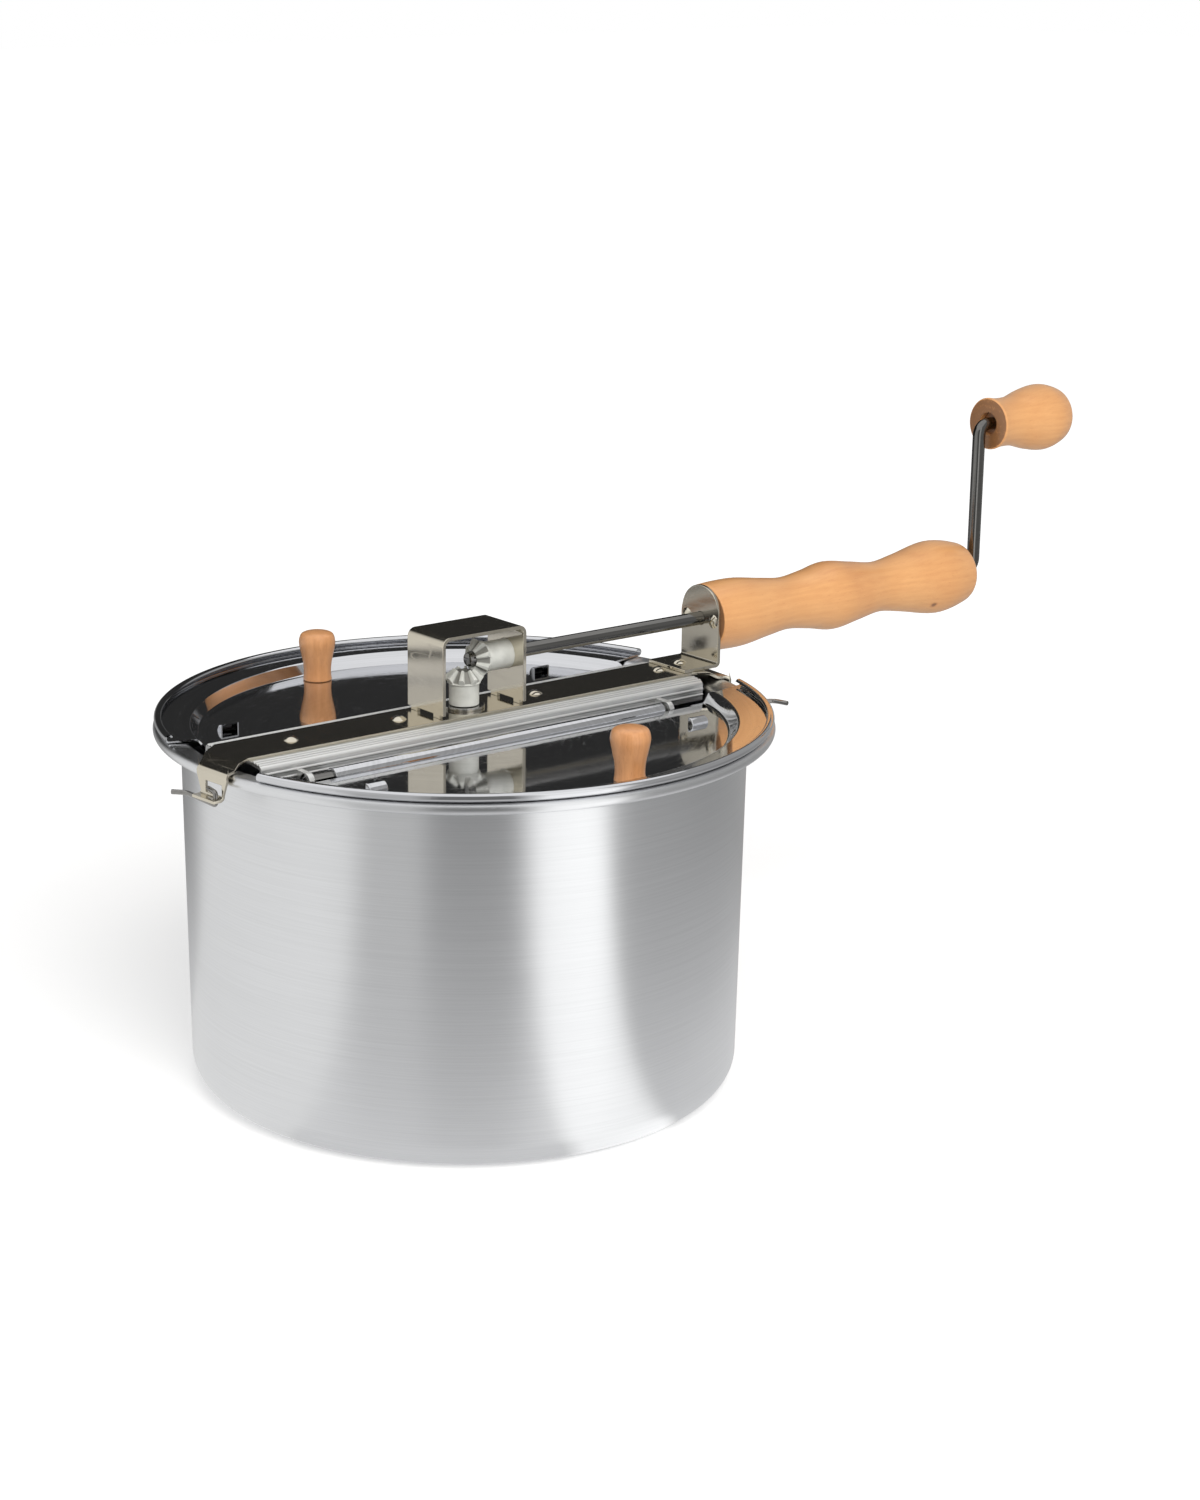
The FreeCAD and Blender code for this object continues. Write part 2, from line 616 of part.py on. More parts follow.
# ---------------------------------------------------------------- gears
def gear_blank_and_teeth(turn):
    """Mitre gear with its axis on Z and its cone's apex at the origin, below the apex.

    Every flank is a ray from the apex, so each tooth is a wedge cut off by the
    front and back cones.
    """
    pitch_cone = math.sqrt(2) * gear_pitch_radius
    add = gear_addendum / pitch_cone
    ded = gear_dedendum / pitch_cone
    step = 2 * math.pi / gear_teeth

    def ring(cone_angle, distance):
        return Vector(distance * math.sin(cone_angle), 0, -distance * math.cos(cone_angle))

    front = pitch_cone - gear_face
    back = pitch_cone
    tip = math.pi / 4 + add
    root = math.pi / 4 - ded
    deep = root - 0.06
    tooth_zone = Part.Face(Part.makePolygon([
        ring(deep, front / math.cos(add)), ring(tip, front), ring(tip, back),
        ring(deep, back / math.cos(ded) + 0.9), ring(deep, front / math.cos(add))]))
    zone = tooth_zone.revolve(ORIGIN, Z_AXIS, 360)

    def corner(cone_angle, share, distance):
        swing = share * step / 2
        radius = distance * math.tan(cone_angle)
        return Vector(radius * math.cos(swing), radius * math.sin(swing), -distance)

    near = 0.2 * gear_pitch_radius
    far = 1.6 * gear_pitch_radius
    wires = []
    for distance in (near, far):
        right = [corner(deep, gear_root_share + 0.04, distance),
                 corner(math.pi / 4, gear_tooth_share, distance),
                 corner(tip + 0.03, gear_tip_share, distance)]
        left = [Vector(p.x, -p.y, p.z) for p in reversed(right)]
        wires.append(Part.makePolygon(right + left + right[:1]))
    wedge = Part.makeLoft(wires, True, True)
    tooth = wedge.common(zone)
    back_rim = ring(root, back / math.cos(ded) + 0.9)
    front_rim = ring(root, front / math.cos(add))
    core_profile = Part.Face(Part.makePolygon([
        Vector(0, 0, front_rim.z), front_rim, back_rim,
        Vector(0, 0, back_rim.z), Vector(0, 0, front_rim.z)]))
    gear = core_profile.revolve(ORIGIN, Z_AXIS, 360)
    for number in range(gear_teeth):
        copy = tooth.copy()
        copy.rotate(ORIGIN, Z_AXIS, math.degrees((number + turn) * step))
        gear = gear.fuse(copy)
    return gear, back_rim.z


def make_driven_gear():
    """Nylon mitre gear over the stirrer shaft; its hub stands on the bush."""
    gear, back = gear_blank_and_teeth(0.0)
    hub_foot = strap_top + bush_flange + seat_gap - crank_axis_height
    hub = rod(gear_hub_radius, back - hub_foot + 0.6, Vector(0, 0, hub_foot), Z_AXIS)
    gear = gear.fuse(hub)
    gear.translate(Vector(0, 0, crank_axis_height))
    bore = rod(shaft_radius, BIG, Vector(0, 0, 0), Z_AXIS)
    return gear.cut(bore).removeSplitter()


def make_drive_gear():
    """Nylon mitre gear on the crank rod; its hub turns in the bracket's right leg."""
    gear, back = gear_blank_and_teeth(0.5)
    hub_end = bracket_right + gear_hub_proud
    hub = rod(gear_hub_radius, hub_end + back, Vector(0, 0, -hub_end), Z_AXIS)
    gear = gear.fuse(hub)
    gear.rotate(ORIGIN, Y_AXIS, -90)
    gear.translate(Vector(0, 0, crank_axis_height))
    bore = rod(crank_rod_radius, BIG, Vector(-BIG / 2, 0, crank_axis_height), X_AXIS)
    return gear.cut(bore).removeSplitter()


# ---------------------------------------------------------------- stirrer
def make_shaft():
    """Steel shaft from the driven gear down to the stirring wire's cross hole."""
    top = crank_axis_height - gear_pitch_radius + 1.2
    length = top - (stirrer_height - stirrer_wire_radius - 1.6)
    shaft = rod(shaft_radius, length, Vector(0, 0, top - length), Z_AXIS)
    cross = rod(stirrer_wire_radius, 20, Vector(-10, 0, stirrer_height), X_AXIS)
    return shaft.cut(cross)


def make_stirrer_wire():
    """One wire through the shaft's foot: two arms over the floor, each with a raked end."""
    tip = stirrer_reach
    rake = stirrer_hook
    points = [
        Vector(-tip + 9, rake, stirrer_height + rake * 0.5),
        Vector(-tip, 0, stirrer_height),
        Vector(tip, 0, stirrer_height),
        Vector(tip - 9, -rake, stirrer_height + rake * 0.5),
    ]
    return swept_rod(points, [stirrer_bend, stirrer_bend], stirrer_wire_radius)


def make_bush():
    """Flanged bush through strap and rail that the stirrer shaft runs in."""
    outer = shaft_radius + running_fit + bush_wall
    low = rail_top - bush_length
    body = rod(outer, bush_length + strap_sheet, Vector(0, 0, low), Z_AXIS)
    flange = rod(bush_flange_radius, bush_flange, Vector(0, 0, strap_top), Z_AXIS)
    bore = rod(shaft_radius + running_fit, BIG, Vector(0, 0, low - BIG / 2), Z_AXIS)
    return body.fuse(flange).cut(bore)


def make_shaft_collar():
    """Retaining collar on the shaft, just under the bush."""
    top = rail_top - bush_length - seat_gap
    return tube(shaft_radius + 2.4, shaft_radius, 2.0, Vector(0, 0, top - 2.0), Z_AXIS)


# ---------------------------------------------------------------- crank
def make_crank_rod():
    """One steel rod: through the grip, up the crank arm and along into the knob."""
    start = 1.5
    end = crank_knob_face + crank_end_inset
    points = [Vector(start, 0, crank_axis_height), Vector(crank_arm_x, 0, crank_axis_height),
              Vector(crank_arm_x, 0, knob_axis_height), Vector(end, 0, knob_axis_height)]
    return swept_rod(points, [crank_bend, crank_bend - 0.8], crank_rod_radius)


def make_crank_cap():
    """Pressed cap on the rod's end, inside the knob, that keeps the knob on."""
    end = crank_knob_face + crank_end_inset
    start = Vector(end - crank_cap_thickness, 0, knob_axis_height)
    return tube(crank_cap_radius, crank_rod_radius, crank_cap_thickness, start, X_AXIS)


def make_crank_knob():
    """Pear-shaped beech knob, bored for the rod, with a plugged pocket for its cap."""
    length = crank_knob_length
    stations = [s * length for s in (0.0, 0.13, 0.3, 0.5, 0.7, 0.86)]
    knob = turned(stations, crank_knob_radii, length)
    knob.translate(Vector(crank_knob_face, 0, knob_axis_height))
    start = Vector(crank_knob_face - 1, 0, knob_axis_height)
    mouth = rod(crank_rod_radius + 2.4, 4.0, start, X_AXIS)
    bore = rod(crank_rod_radius + running_fit, crank_end_inset + 1.0, start, X_AXIS)
    pocket_start = crank_knob_face + crank_end_inset - crank_cap_thickness - seat_gap
    pocket = rod(crank_cap_radius + seat_gap, crank_cap_thickness + 2 * seat_gap,
                 Vector(pocket_start, 0, knob_axis_height), X_AXIS)
    return knob.cut(mouth).cut(bore).cut(pocket)


# ---------------------------------------------------------------- handle
def make_handle_bracket():
    """Plated strip: a long foot riveted to the strap and an upright plate with a round head."""
    foot_start = handle_plate_x + handle_sheet - handle_foot_length
    points = [Vector(foot_start, strap_top), Vector(handle_plate_x + handle_sheet, strap_top),
              Vector(handle_plate_x + handle_sheet, handle_top_centre + handle_width / 2)]
    face = sheet_face(bent_path(points, [handle_bend]), handle_sheet, IN_XZ)
    face.translate(Vector(0, -handle_width / 2, 0))
    plate = face.extrude(Vector(0, handle_width, 0))
    square = block(handle_plate_x - 1, handle_plate_x + handle_sheet + 1, -BIG, BIG,
                   handle_top_centre, BIG)
    head = rod(handle_width / 2, handle_sheet + 2, Vector(handle_plate_x - 1, 0, handle_top_centre), X_AXIS)
    plate = plate.cut(square.cut(head))
    rod_hole = rod(crank_rod_radius + running_fit, 20,
                   Vector(handle_plate_x - 10, 0, crank_axis_height), X_AXIS)
    plate = plate.cut(rod_hole)
    for side in (-1, 1):
        hole = rod(rivet_shank_radius, 20,
                   Vector(handle_plate_x - 10, side * handle_screw_side, crank_axis_height), X_AXIS)
        plate = plate.cut(hole)
    return plate.cut(rod(rivet_shank_radius, 20, Vector(handle_rivet_x, 0, strap_top - 9), Z_AXIS))


def make_grip():
    """Turned beech grip with three swells, bored right through for the crank rod."""
    start = handle_plate_x + handle_sheet
    stations = [0.0, 0.06, 0.125, 0.215, 0.295, 0.38, 0.46, 0.55, 0.645, 0.74, 0.86, 0.95]
    grip = turned([s * grip_length for s in stations], grip_radii, grip_length)
    grip.translate(Vector(start, 0, crank_axis_height))
    bore = rod(crank_rod_radius + 2 * running_fit, BIG, Vector(start - 1, 0, crank_axis_height), X_AXIS)
    grip = grip.cut(bore)
    for side in (-1, 1):
        foot = Vector(start - 1, side * handle_screw_side, crank_axis_height)
        grip = grip.cut(rod(rivet_shank_radius, 18, foot, X_AXIS))
    return grip


def handle_screw(side):
    """Dome-headed wood screw through the plate into the grip's end."""
    seat = Vector(handle_plate_x, side * handle_screw_side, crank_axis_height)
    head = dome_head(handle_screw_radius, screw_head_height, seat, Vector(-1, 0, 0))
    return head.fuse(rod(rivet_shank_radius, handle_sheet + 17, seat, X_AXIS))


# ---------------------------------------------------------------- build
save("pan", make_pan())

front_lid = make_lid()
front_knob = make_lid_knob()
front_screw = make_knob_screw()
front_washer = make_knob_washer()
front_hinge_rod = make_hinge_rod()
save("front_lid_panel", front_lid)
save("front_lid_knob", front_knob)
save("front_knob_screw", front_screw)
save("front_knob_washer", front_washer)
save("front_hinge_rod", front_hinge_rod)
save("rear_lid_panel", half_turn(front_lid))
save("rear_lid_knob", half_turn(front_knob))
save("rear_knob_screw", half_turn(front_screw))
save("rear_knob_washer", half_turn(front_washer))
save("rear_hinge_rod", half_turn(front_hinge_rod))

save("cross_rail", make_rail())
save("cross_strap", make_strap())
rail_under = rail_top - rail_sheet
save("strap_rivets", *[rivet(x, strap_top, rail_under) for x in rivet_stations])
save("handle_bracket_rivet", rivet(handle_rivet_x, strap_top + handle_sheet, rail_top))

save("left_clip", on_tab(make_clip()))
opened_clip = make_clip()
opened_clip.rotate(ORIGIN, Z_AXIS, clip_open_angle)
save("right_clip", on_tab(opened_clip).mirror(ORIGIN, X_AXIS))

save("gear_bracket", make_bracket())
save("shaft_bush", make_bush())
save("driven_gear", make_driven_gear())
save("stirrer_shaft", make_shaft())
save("shaft_collar", make_shaft_collar())
save("stirrer_wire", make_stirrer_wire())

save("drive_gear", make_drive_gear())
save("crank_rod", make_crank_rod())
save("crank_rod_cap", make_crank_cap())
save("crank_knob", make_crank_knob())

save("handle_bracket", make_handle_bracket())
save("handle_grip", make_grip())
save("handle_screws", *[handle_screw(side) for side in (-1, 1)])
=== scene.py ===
import math

import bmesh
import bpy
from mathutils import Matrix, Vector
from mathutils.geometry import interpolate_bezier


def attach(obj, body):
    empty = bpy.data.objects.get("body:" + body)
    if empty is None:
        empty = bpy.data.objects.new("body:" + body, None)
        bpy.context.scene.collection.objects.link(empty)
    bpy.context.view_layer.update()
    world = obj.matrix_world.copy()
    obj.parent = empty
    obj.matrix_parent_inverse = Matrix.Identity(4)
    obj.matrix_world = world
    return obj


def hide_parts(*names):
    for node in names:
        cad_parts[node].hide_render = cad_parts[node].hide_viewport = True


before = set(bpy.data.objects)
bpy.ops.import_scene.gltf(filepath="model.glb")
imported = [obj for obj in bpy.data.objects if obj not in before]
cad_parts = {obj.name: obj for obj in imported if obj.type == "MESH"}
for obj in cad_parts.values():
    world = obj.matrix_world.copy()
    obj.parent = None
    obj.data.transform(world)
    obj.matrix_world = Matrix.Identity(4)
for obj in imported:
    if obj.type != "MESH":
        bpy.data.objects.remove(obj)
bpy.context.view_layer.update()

# ---- Pan
# A deep pan, spun from one disc of aluminium on a lathe.  The wall leans out a little, and
# the mouth turns out into a narrow ledge that ends in a bead rolled over on itself.
# Fine turning marks run round it, so it mirrors lamps as soft upright bands.
MM = 0.001                      # sizes are in millimetres, and this makes them metres
pan_sheet = 1.3
pan_base = (114.0, 0.0)         # a radius and a height, as the next two are
pan_mouth = (115.9, 150.6)
pan_bead = (124.7, 150.7)
pan_foot_bend, pan_ledge_bend = 12.0, 3.0
pan_curl = 1.0
bead_turn = 245                 # degrees that a bead is rolled through
round_steps = 240
weld, hair = 1e-6, 1e-7         # metres within which vertices are joined


def wire(corners):
    """A chain of edges in the XZ plane through these corners, in millimetres."""
    chain = bmesh.new()
    verts = [chain.verts.new((x * MM, 0.0, z * MM)) for x, z in corners]
    for first, second in zip(verts, verts[1:]):
        chain.edges.new((first, second))
    return chain, verts


def round_corner(chain, corner, radius, segments=6):
    """Turns one corner of a chain into an arc of this radius, in millimetres."""
    before, after = [edge.other_vert(corner).co for edge in corner.link_edges]
    turn = (corner.co - before).angle(after - corner.co)
    bmesh.ops.bevel(chain, geom=[corner], offset=radius * MM * math.tan(turn / 2),
                    offset_type="OFFSET", affect="VERTICES", segments=segments,
                    profile=0.5, material=-1)


def tangent_point(start, centre, radius, side):
    """Where a straight line from start meets a circle; side 1 passes over it, -1 under."""
    run, rise = centre[0] - start[0], centre[1] - start[1]
    lean = math.atan2(rise, run) + side * math.asin(radius / math.hypot(run, rise))
    return (centre[0] - side * radius * math.sin(lean), centre[1] + side * radius * math.cos(lean))


def roll(chain, end, centre, degrees, steps=20):
    """Carries the chain on from its end vertex, round a point."""
    bmesh.ops.spin(chain, geom=[end], cent=(centre[0] * MM, 0, centre[1] * MM), axis=(0, 1, 0),
                   dvec=(0, 0, 0), angle=math.radians(degrees), steps=steps,
                   use_duplicate=False)


def turn_on_z(chain, steps):
    """Spins a chain once round the upright axis and closes the seam and the poles."""
    bmesh.ops.spin(chain, geom=chain.verts[:] + chain.edges[:], cent=(0, 0, 0), axis=(0, 0, 1),
                   dvec=(0, 0, 0), angle=math.tau, steps=steps, use_merge=True,
                   use_duplicate=False)
    bmesh.ops.remove_doubles(chain, verts=chain.verts, dist=weld)
    bmesh.ops.recalc_face_normals(chain, faces=chain.faces)


def thicken(shell, thickness, upward):
    """Gives an open shell its wall, on the side away from its outward face."""
    lead = max(shell.faces, key=lambda face: face.calc_area())
    if (lead.normal.z > 0) != upward:
        bmesh.ops.reverse_faces(shell, faces=shell.faces)
    bmesh.ops.solidify(shell, geom=shell.faces[:], thickness=thickness * MM)


def finish_piece(name, shape, finish, body, nodes, crease=38):
    """Turns a shape into a piece that rides on its body and stands for its CAD nodes."""
    bmesh.ops.remove_doubles(shape, verts=shape.verts, dist=hair)
    for face in shape.faces:
        face.smooth = True
    for edge in shape.edges:
        edge.smooth = edge.calc_face_angle(0.0) < math.radians(crease)
    mesh = bpy.data.meshes.new(name)
    shape.to_mesh(mesh)
    shape.free()
    mesh.materials.append(finish)
    piece = bpy.data.objects.new(name, mesh)
    bpy.context.scene.collection.objects.link(piece)
    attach(piece, body)
    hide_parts(*nodes)
    return piece


class Nodes:
    """Lays out one node tree, with values by socket name and links between sockets."""

    def __init__(self, tree):
        self.tree = tree

    def add(self, kind, links=(), **values):
        """A new node; a value goes to its setting of that name, or else to that socket."""
        node = self.tree.nodes.new("ShaderNode" + kind)
        for key, value in values.items():
            if hasattr(node, key):
                setattr(node, key, value)
            else:
                node.inputs[key.replace("_", " ")].default_value = value
        for socket, source in dict(links).items():
            self.tree.links.new(source, node.inputs[socket])
        return node

    def math(self, operation, first, second):
        """A Math node between a socket and a socket or a number."""
        node = self.add("Math", {0: first}, operation=operation)
        if isinstance(second, (int, float)):
            node.inputs[1].default_value = second
        else:
            self.tree.links.new(second, node.inputs[1])
        return node.outputs[0]

    def vector(self, operation, first, second):
        """The outputs of a Vector Math node between a socket and a fixed vector."""
        node = self.add("VectorMath", {0: first}, operation=operation)
        node.inputs[1].default_value = second
        return node.outputs

    def length(self, source):
        """How long a vector is."""
        return self.add("VectorMath", {0: source}, operation="LENGTH").outputs["Value"]

    def spread(self, value, low, high, least, most):
        """A value from low to high, carried over to least to most."""
        return self.add("MapRange", {"Value": value}, From_Min=low, From_Max=high,
                        To_Min=least, To_Max=most).outputs[0]

    def ramp(self, factor, stops):
        """A colour ramp through these stops, each a place and a colour."""
        node = self.add("ValToRGB", {"Fac": factor})
        band = node.color_ramp.elements
        for _ in range(len(stops) - len(band)):
            band.new(0.5)
        for element, (place, tone) in zip(band, stops):
            element.position = place
            element.color = tone
        return node.outputs["Color"]

    def drive(self, shader, socket, source):
        """Lets a source decide one of a node's sockets."""
        self.tree.links.new(source, shader.inputs[socket])


def colour(red, green, blue):
    """A colour as it is seen, 0-255, in the linear values that a socket takes."""
    def linear(part):
        part /= 255.0
        return part / 12.92 if part <= 0.04045 else ((part + 0.055) / 1.055) ** 2.4
    return (linear(red), linear(green), linear(blue), 1.0)


def shade(tone, share):
    """The same colour, lighter or darker by a share."""
    return tuple(part * share for part in tone[:3]) + (1.0,)


def new_material(name, **values):
    """A material with one Principled shader, whose plain values are given by name."""
    material = bpy.data.materials.new(name)
    material.use_nodes = True
    shader = material.node_tree.nodes["Principled BSDF"]
    for key, value in values.items():
        shader.inputs[key.replace("_", " ")].default_value = value
    return material, Nodes(material.node_tree), shader


def new_group(name, takes, gives):
    """An empty node group: its layout, its input node's outputs and its output node."""
    group = bpy.data.node_groups.new(name, "ShaderNodeTree")
    for socket, kind in takes.items():
        group.interface.new_socket(socket, in_out="INPUT", socket_type="NodeSocket" + kind)
    for socket in gives:
        group.interface.new_socket(socket, in_out="OUTPUT", socket_type="NodeSocketFloat")
    given = group.nodes.new("NodeGroupInput")
    out = group.nodes.new("NodeGroupOutput")
    return group, Nodes(group), given.outputs, out.inputs


# Brushing: lines drawn out along one direction, and broad smears from handling.
brushing, lay, given, out = new_group("brushing", {"Vector": "Vector", "Fineness": "Vector"},
                                      ("Lines", "Smears"))
drawn_out = lay.add("VectorMath", {0: given["Vector"], 1: given["Fineness"]},
                    operation="MULTIPLY").outputs[0]
lines = lay.add("TexNoise", {"Vector": drawn_out}, Scale=1.0, Detail=4.0, Roughness=0.7)
smears = lay.add("TexNoise", {"Vector": given["Vector"]}, Scale=22.0, Detail=3.0, Roughness=0.55)
lay.tree.links.new(lines.outputs[0], out["Lines"])
lay.tree.links.new(smears.outputs[0], out["Smears"])

# Scuffs: hair-fine, gently curved scratches that cross each other.
scuff_turns = (0.3, 1.2, 2.3)
scuff_stretch, scuff_width = 0.16, 0.006
scuffs, lay, given, out = new_group("scuffs", {"Vector": "Vector", "Density": "Float"},
                                    ("Scratches",))
found = []
for turn in scuff_turns:
    turned_place = lay.add("Mapping", {"Vector": given["Vector"]}, Rotation=(0.0, 0.0, turn),
                           Scale=(1.0, scuff_stretch, 1.0)).outputs[0]
    contour = lay.add("TexNoise", {"Vector": turned_place, "Scale": given["Density"]}, Detail=1.0)
    off_line = lay.math("ABSOLUTE", lay.math("SUBTRACT", contour.outputs[0], 0.5), 0.0)
    found.append(lay.spread(off_line, 0.0, scuff_width, 1.0, 0.0))
both = lay.math("MAXIMUM", found[0], found[1])
lay.tree.links.new(lay.math("MAXIMUM", both, found[2]), out["Scratches"])

scuff_density = 70.0
bump_depth = 0.0002
noise_low, noise_high = 0.3, 0.7        # where a noise mostly stays
both_low, both_high = 0.7, 1.3          # and where the sum of two does


def own_place(lay):
    """A point's place on its piece, which goes along when the piece moves."""
    return lay.add("TexCoord").outputs["Object"]


def rings_round_z(lay):
    """Place as (x, y, height + radius), so that lines crowded along Z run round the axis."""
    place = own_place(lay)
    radius = lay.length(lay.vector("MULTIPLY", place, (1, 1, 0))["Vector"])
    parts = lay.add("SeparateXYZ", {0: place}).outputs
    reach = lay.math("ADD", parts["Z"], radius)
    return lay.add("CombineXYZ", {"X": parts["X"], "Y": parts["Y"], "Z": reach}).outputs[0]


def metal(name, tone, roughness, fineness, place=own_place, spread=0.04, contrast=0.1,
          bump=0.03, scratches=0.0, spun=False, **values):
    """A metal whose gloss, colour and surface follow the lines left in it by its making."""
    material, lay, shader = new_material(name, Metallic=1.0, **values)
    source = place(lay)
    worked = lay.add("Group", {"Vector": source}, node_tree=brushing)
    worked.inputs["Fineness"].default_value = fineness
    both = lay.math("ADD", worked.outputs["Lines"], worked.outputs["Smears"])
    gloss = lay.spread(both, both_low, both_high, roughness - spread, roughness + spread)
    height = worked.outputs["Lines"]
    if scratches:
        scuffed = lay.add("Group", {"Vector": source}, node_tree=scuffs)
        scuffed.inputs["Density"].default_value = scuff_density
        marks = lay.math("MULTIPLY", scuffed.outputs["Scratches"], scratches)
        gloss = lay.math("ADD", gloss, marks)
        height = lay.math("SUBTRACT", height, marks)
    lay.drive(shader, "Roughness", gloss)
    lay.drive(shader, "Base Color", lay.ramp(worked.outputs["Lines"], [
        (noise_low, shade(tone, 1.0 - contrast)), (0.65, tone)]))
    dent = lay.add("Bump", {"Height": height}, Strength=bump, Distance=bump_depth)
    lay.drive(shader, "Normal", dent.outputs["Normal"])
    if spun:
        round_the_axis = lay.add("Tangent", direction_type="RADIAL", axis="Z")
        lay.drive(shader, "Tangent", round_the_axis.outputs[0])
    return material


spun_aluminium = metal("spun_aluminium", colour(229, 230, 232), 0.31, (14, 14, 1500),
                       rings_round_z, spread=0.03, contrast=0.07, bump=0.02, spun=True,
                       Anisotropic=0.85, Anisotropic_Rotation=0.25)

tangent = tangent_point(pan_mouth, pan_bead, pan_curl, 1)
pan, corners = wire([(0, 0), pan_base, pan_mouth, tangent])
round_corner(pan, corners[1], pan_foot_bend, 14)
round_corner(pan, corners[2], pan_ledge_bend, 5)
roll(pan, corners[3], pan_bead, bead_turn)
turn_on_z(pan, round_steps)
thicken(pan, pan_sheet, False)
finish_piece("spun_pan", pan, spun_aluminium, "pan", ["pan"])

# ---- Stirrer
# A steel shaft hangs from the driven gear through the lid, with a collar under the bush.
# One steel wire is pushed through its foot and sweeps just over the pan's floor.
turned_steel = metal("turned_steel", colour(190, 189, 187), 0.16, (90, 90, 2600),
                     spread=0.05, contrast=0.12)
drawn_steel = metal("drawn_steel", colour(124, 123, 121), 0.05, (30, 1700, 1700),
                    spread=0.03, contrast=0.2)
sweep, sweep_height = 101.0, 5.5
wire_tip = (92.0, -16.0, 13.5)  # the other tip is its mirror across the middle
sweep_bend = 7.0
stirring_radius = 1.7
degrees_per_step = 8            # along a wire's bends
cut_ease, cut_angle = 0.22, 60  # a share of the wire's radius, and the angle of its cut ends


def dress(finish, *nodes):
    """Gives carried-over CAD nodes their finish."""
    for node in nodes:
        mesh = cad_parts[node].data
        mesh.materials.clear()
        mesh.materials.append(finish)


def only(kind, parts):
    """The parts of one kind, out of all that an operator has made."""
    return [part for part in parts if isinstance(part, kind)]


def bent_wire(points, bends, radius, sides=28):
    """A round wire through these points: straight runs, with each corner bent to its radius."""
    places = [Vector(point) * MM for point in points]
    wire = bmesh.new()
    bmesh.ops.create_circle(wire, segments=sides, radius=radius * MM)
    facing = (places[1] - places[0]).to_track_quat("Z", "Y").to_matrix()
    bmesh.ops.rotate(wire, cent=(0, 0, 0), matrix=facing, verts=wire.verts)
    bmesh.ops.translate(wire, vec=places[0], verts=wire.verts)
    ring = wire.edges[:]
    reached = places[0]
    for corner, onward, bend in zip(places[1:-1], places[2:], bends):
        into, away = (corner - reached).normalized(), (onward - corner).normalized()
        turn = into.angle(away)
        set_back = bend * MM * math.tan(turn / 2)
        grown = bmesh.ops.extrude_edge_only(wire, edges=ring)["geom"]
        bmesh.ops.translate(wire, vec=corner - into * set_back - reached,
                            verts=only(bmesh.types.BMVert, grown))
        ring = only(bmesh.types.BMEdge, grown)
        axis = into.cross(away).normalized()
        centre = corner - into * set_back + axis.cross(into) * bend * MM
        steps = max(3, round(math.degrees(turn) / degrees_per_step))
        grown = bmesh.ops.spin(wire, geom=ring, cent=centre, axis=axis, dvec=(0, 0, 0), angle=turn,
                               steps=steps, use_duplicate=False)["geom_last"]
        ring = only(bmesh.types.BMEdge, grown)
        reached = corner + away * set_back
    grown = bmesh.ops.extrude_edge_only(wire, edges=ring)["geom"]
    bmesh.ops.translate(wire, vec=places[-1] - reached, verts=only(bmesh.types.BMVert, grown))
    bmesh.ops.holes_fill(wire, edges=[edge for edge in wire.edges if edge.is_boundary], sides=0)
    bmesh.ops.recalc_face_normals(wire, faces=wire.faces)
    ease_edges(wire, radius * cut_ease, cut_angle)
    return wire


def ease_edges(shape, width, angle=30, clamp=True):
    """Takes the sharpness off every edge that turns by more than this angle."""
    sharp = [edge for edge in shape.edges
             if edge.is_manifold and edge.calc_face_angle() > math.radians(angle)]
    bmesh.ops.bevel(shape, geom=sharp, offset=width * MM, offset_type="OFFSET", affect="EDGES",
                    segments=2, profile=0.5, material=-1, clamp_overlap=clamp)


dress(turned_steel, "stirrer_shaft", "shaft_collar")
tip_x, tip_y, tip_z = wire_tip
stirring_wire = bent_wire([(-tip_x, -tip_y, tip_z), (-sweep, 0, sweep_height),
                           (sweep, 0, sweep_height), wire_tip],
                          (sweep_bend, sweep_bend), stirring_radius)
finish_piece("stirring_wire", stirring_wire, drawn_steel, "stirrer",
             ["stirrer_wire"])

# ---- Cross rail
# One strip of aluminium, roll-formed into a flat-topped channel that spans the mouth.
# Its shoulders and sides are beaded along their length, and two lugs stand out at each side
# to carry the lids' hinge rods.
rail_half_length = 111.5
rail_top = 155.1
rail_side = 20.4
rail_foot = rail_top - 9.0
rail_flat = 13.5
shoulder_drop = 0.9
shoulder_bend, side_bend = 4.0, 1.6
rail_sheet = 1.5
rail_bead = 0.75
shoulder_beads, shoulder_sink = (14.6, 16.5, 18.4), 0.25    # sinks are shares of the bead
side_beads, side_sink = (2.4, 4.9), 0.4
hinge_y = 26.2
hinge_z = 147.3
knuckle_radius = 3.46
hinge_bore = 2.0
lug_thickness = 2.6
lug_places = (-95.4, 85.4)
sheet_ease = 0.2

satin_aluminium = metal("satin_aluminium", colour(246, 246, 244), 0.44, (16, 1500, 1500),
                        spread=0.05, contrast=0.2, bump=0.10)


def shift(shape, x, y, z):
    """Moves a shape by so many millimetres."""
    bmesh.ops.translate(shape, vec=Vector((x, y, z)) * MM, verts=shape.verts)


def rotate(shape, angle, axis):
    """Turns a shape round an axis through the middle."""
    bmesh.ops.rotate(shape, cent=(0, 0, 0), verts=shape.verts,
                     matrix=Matrix.Rotation(angle, 3, axis))


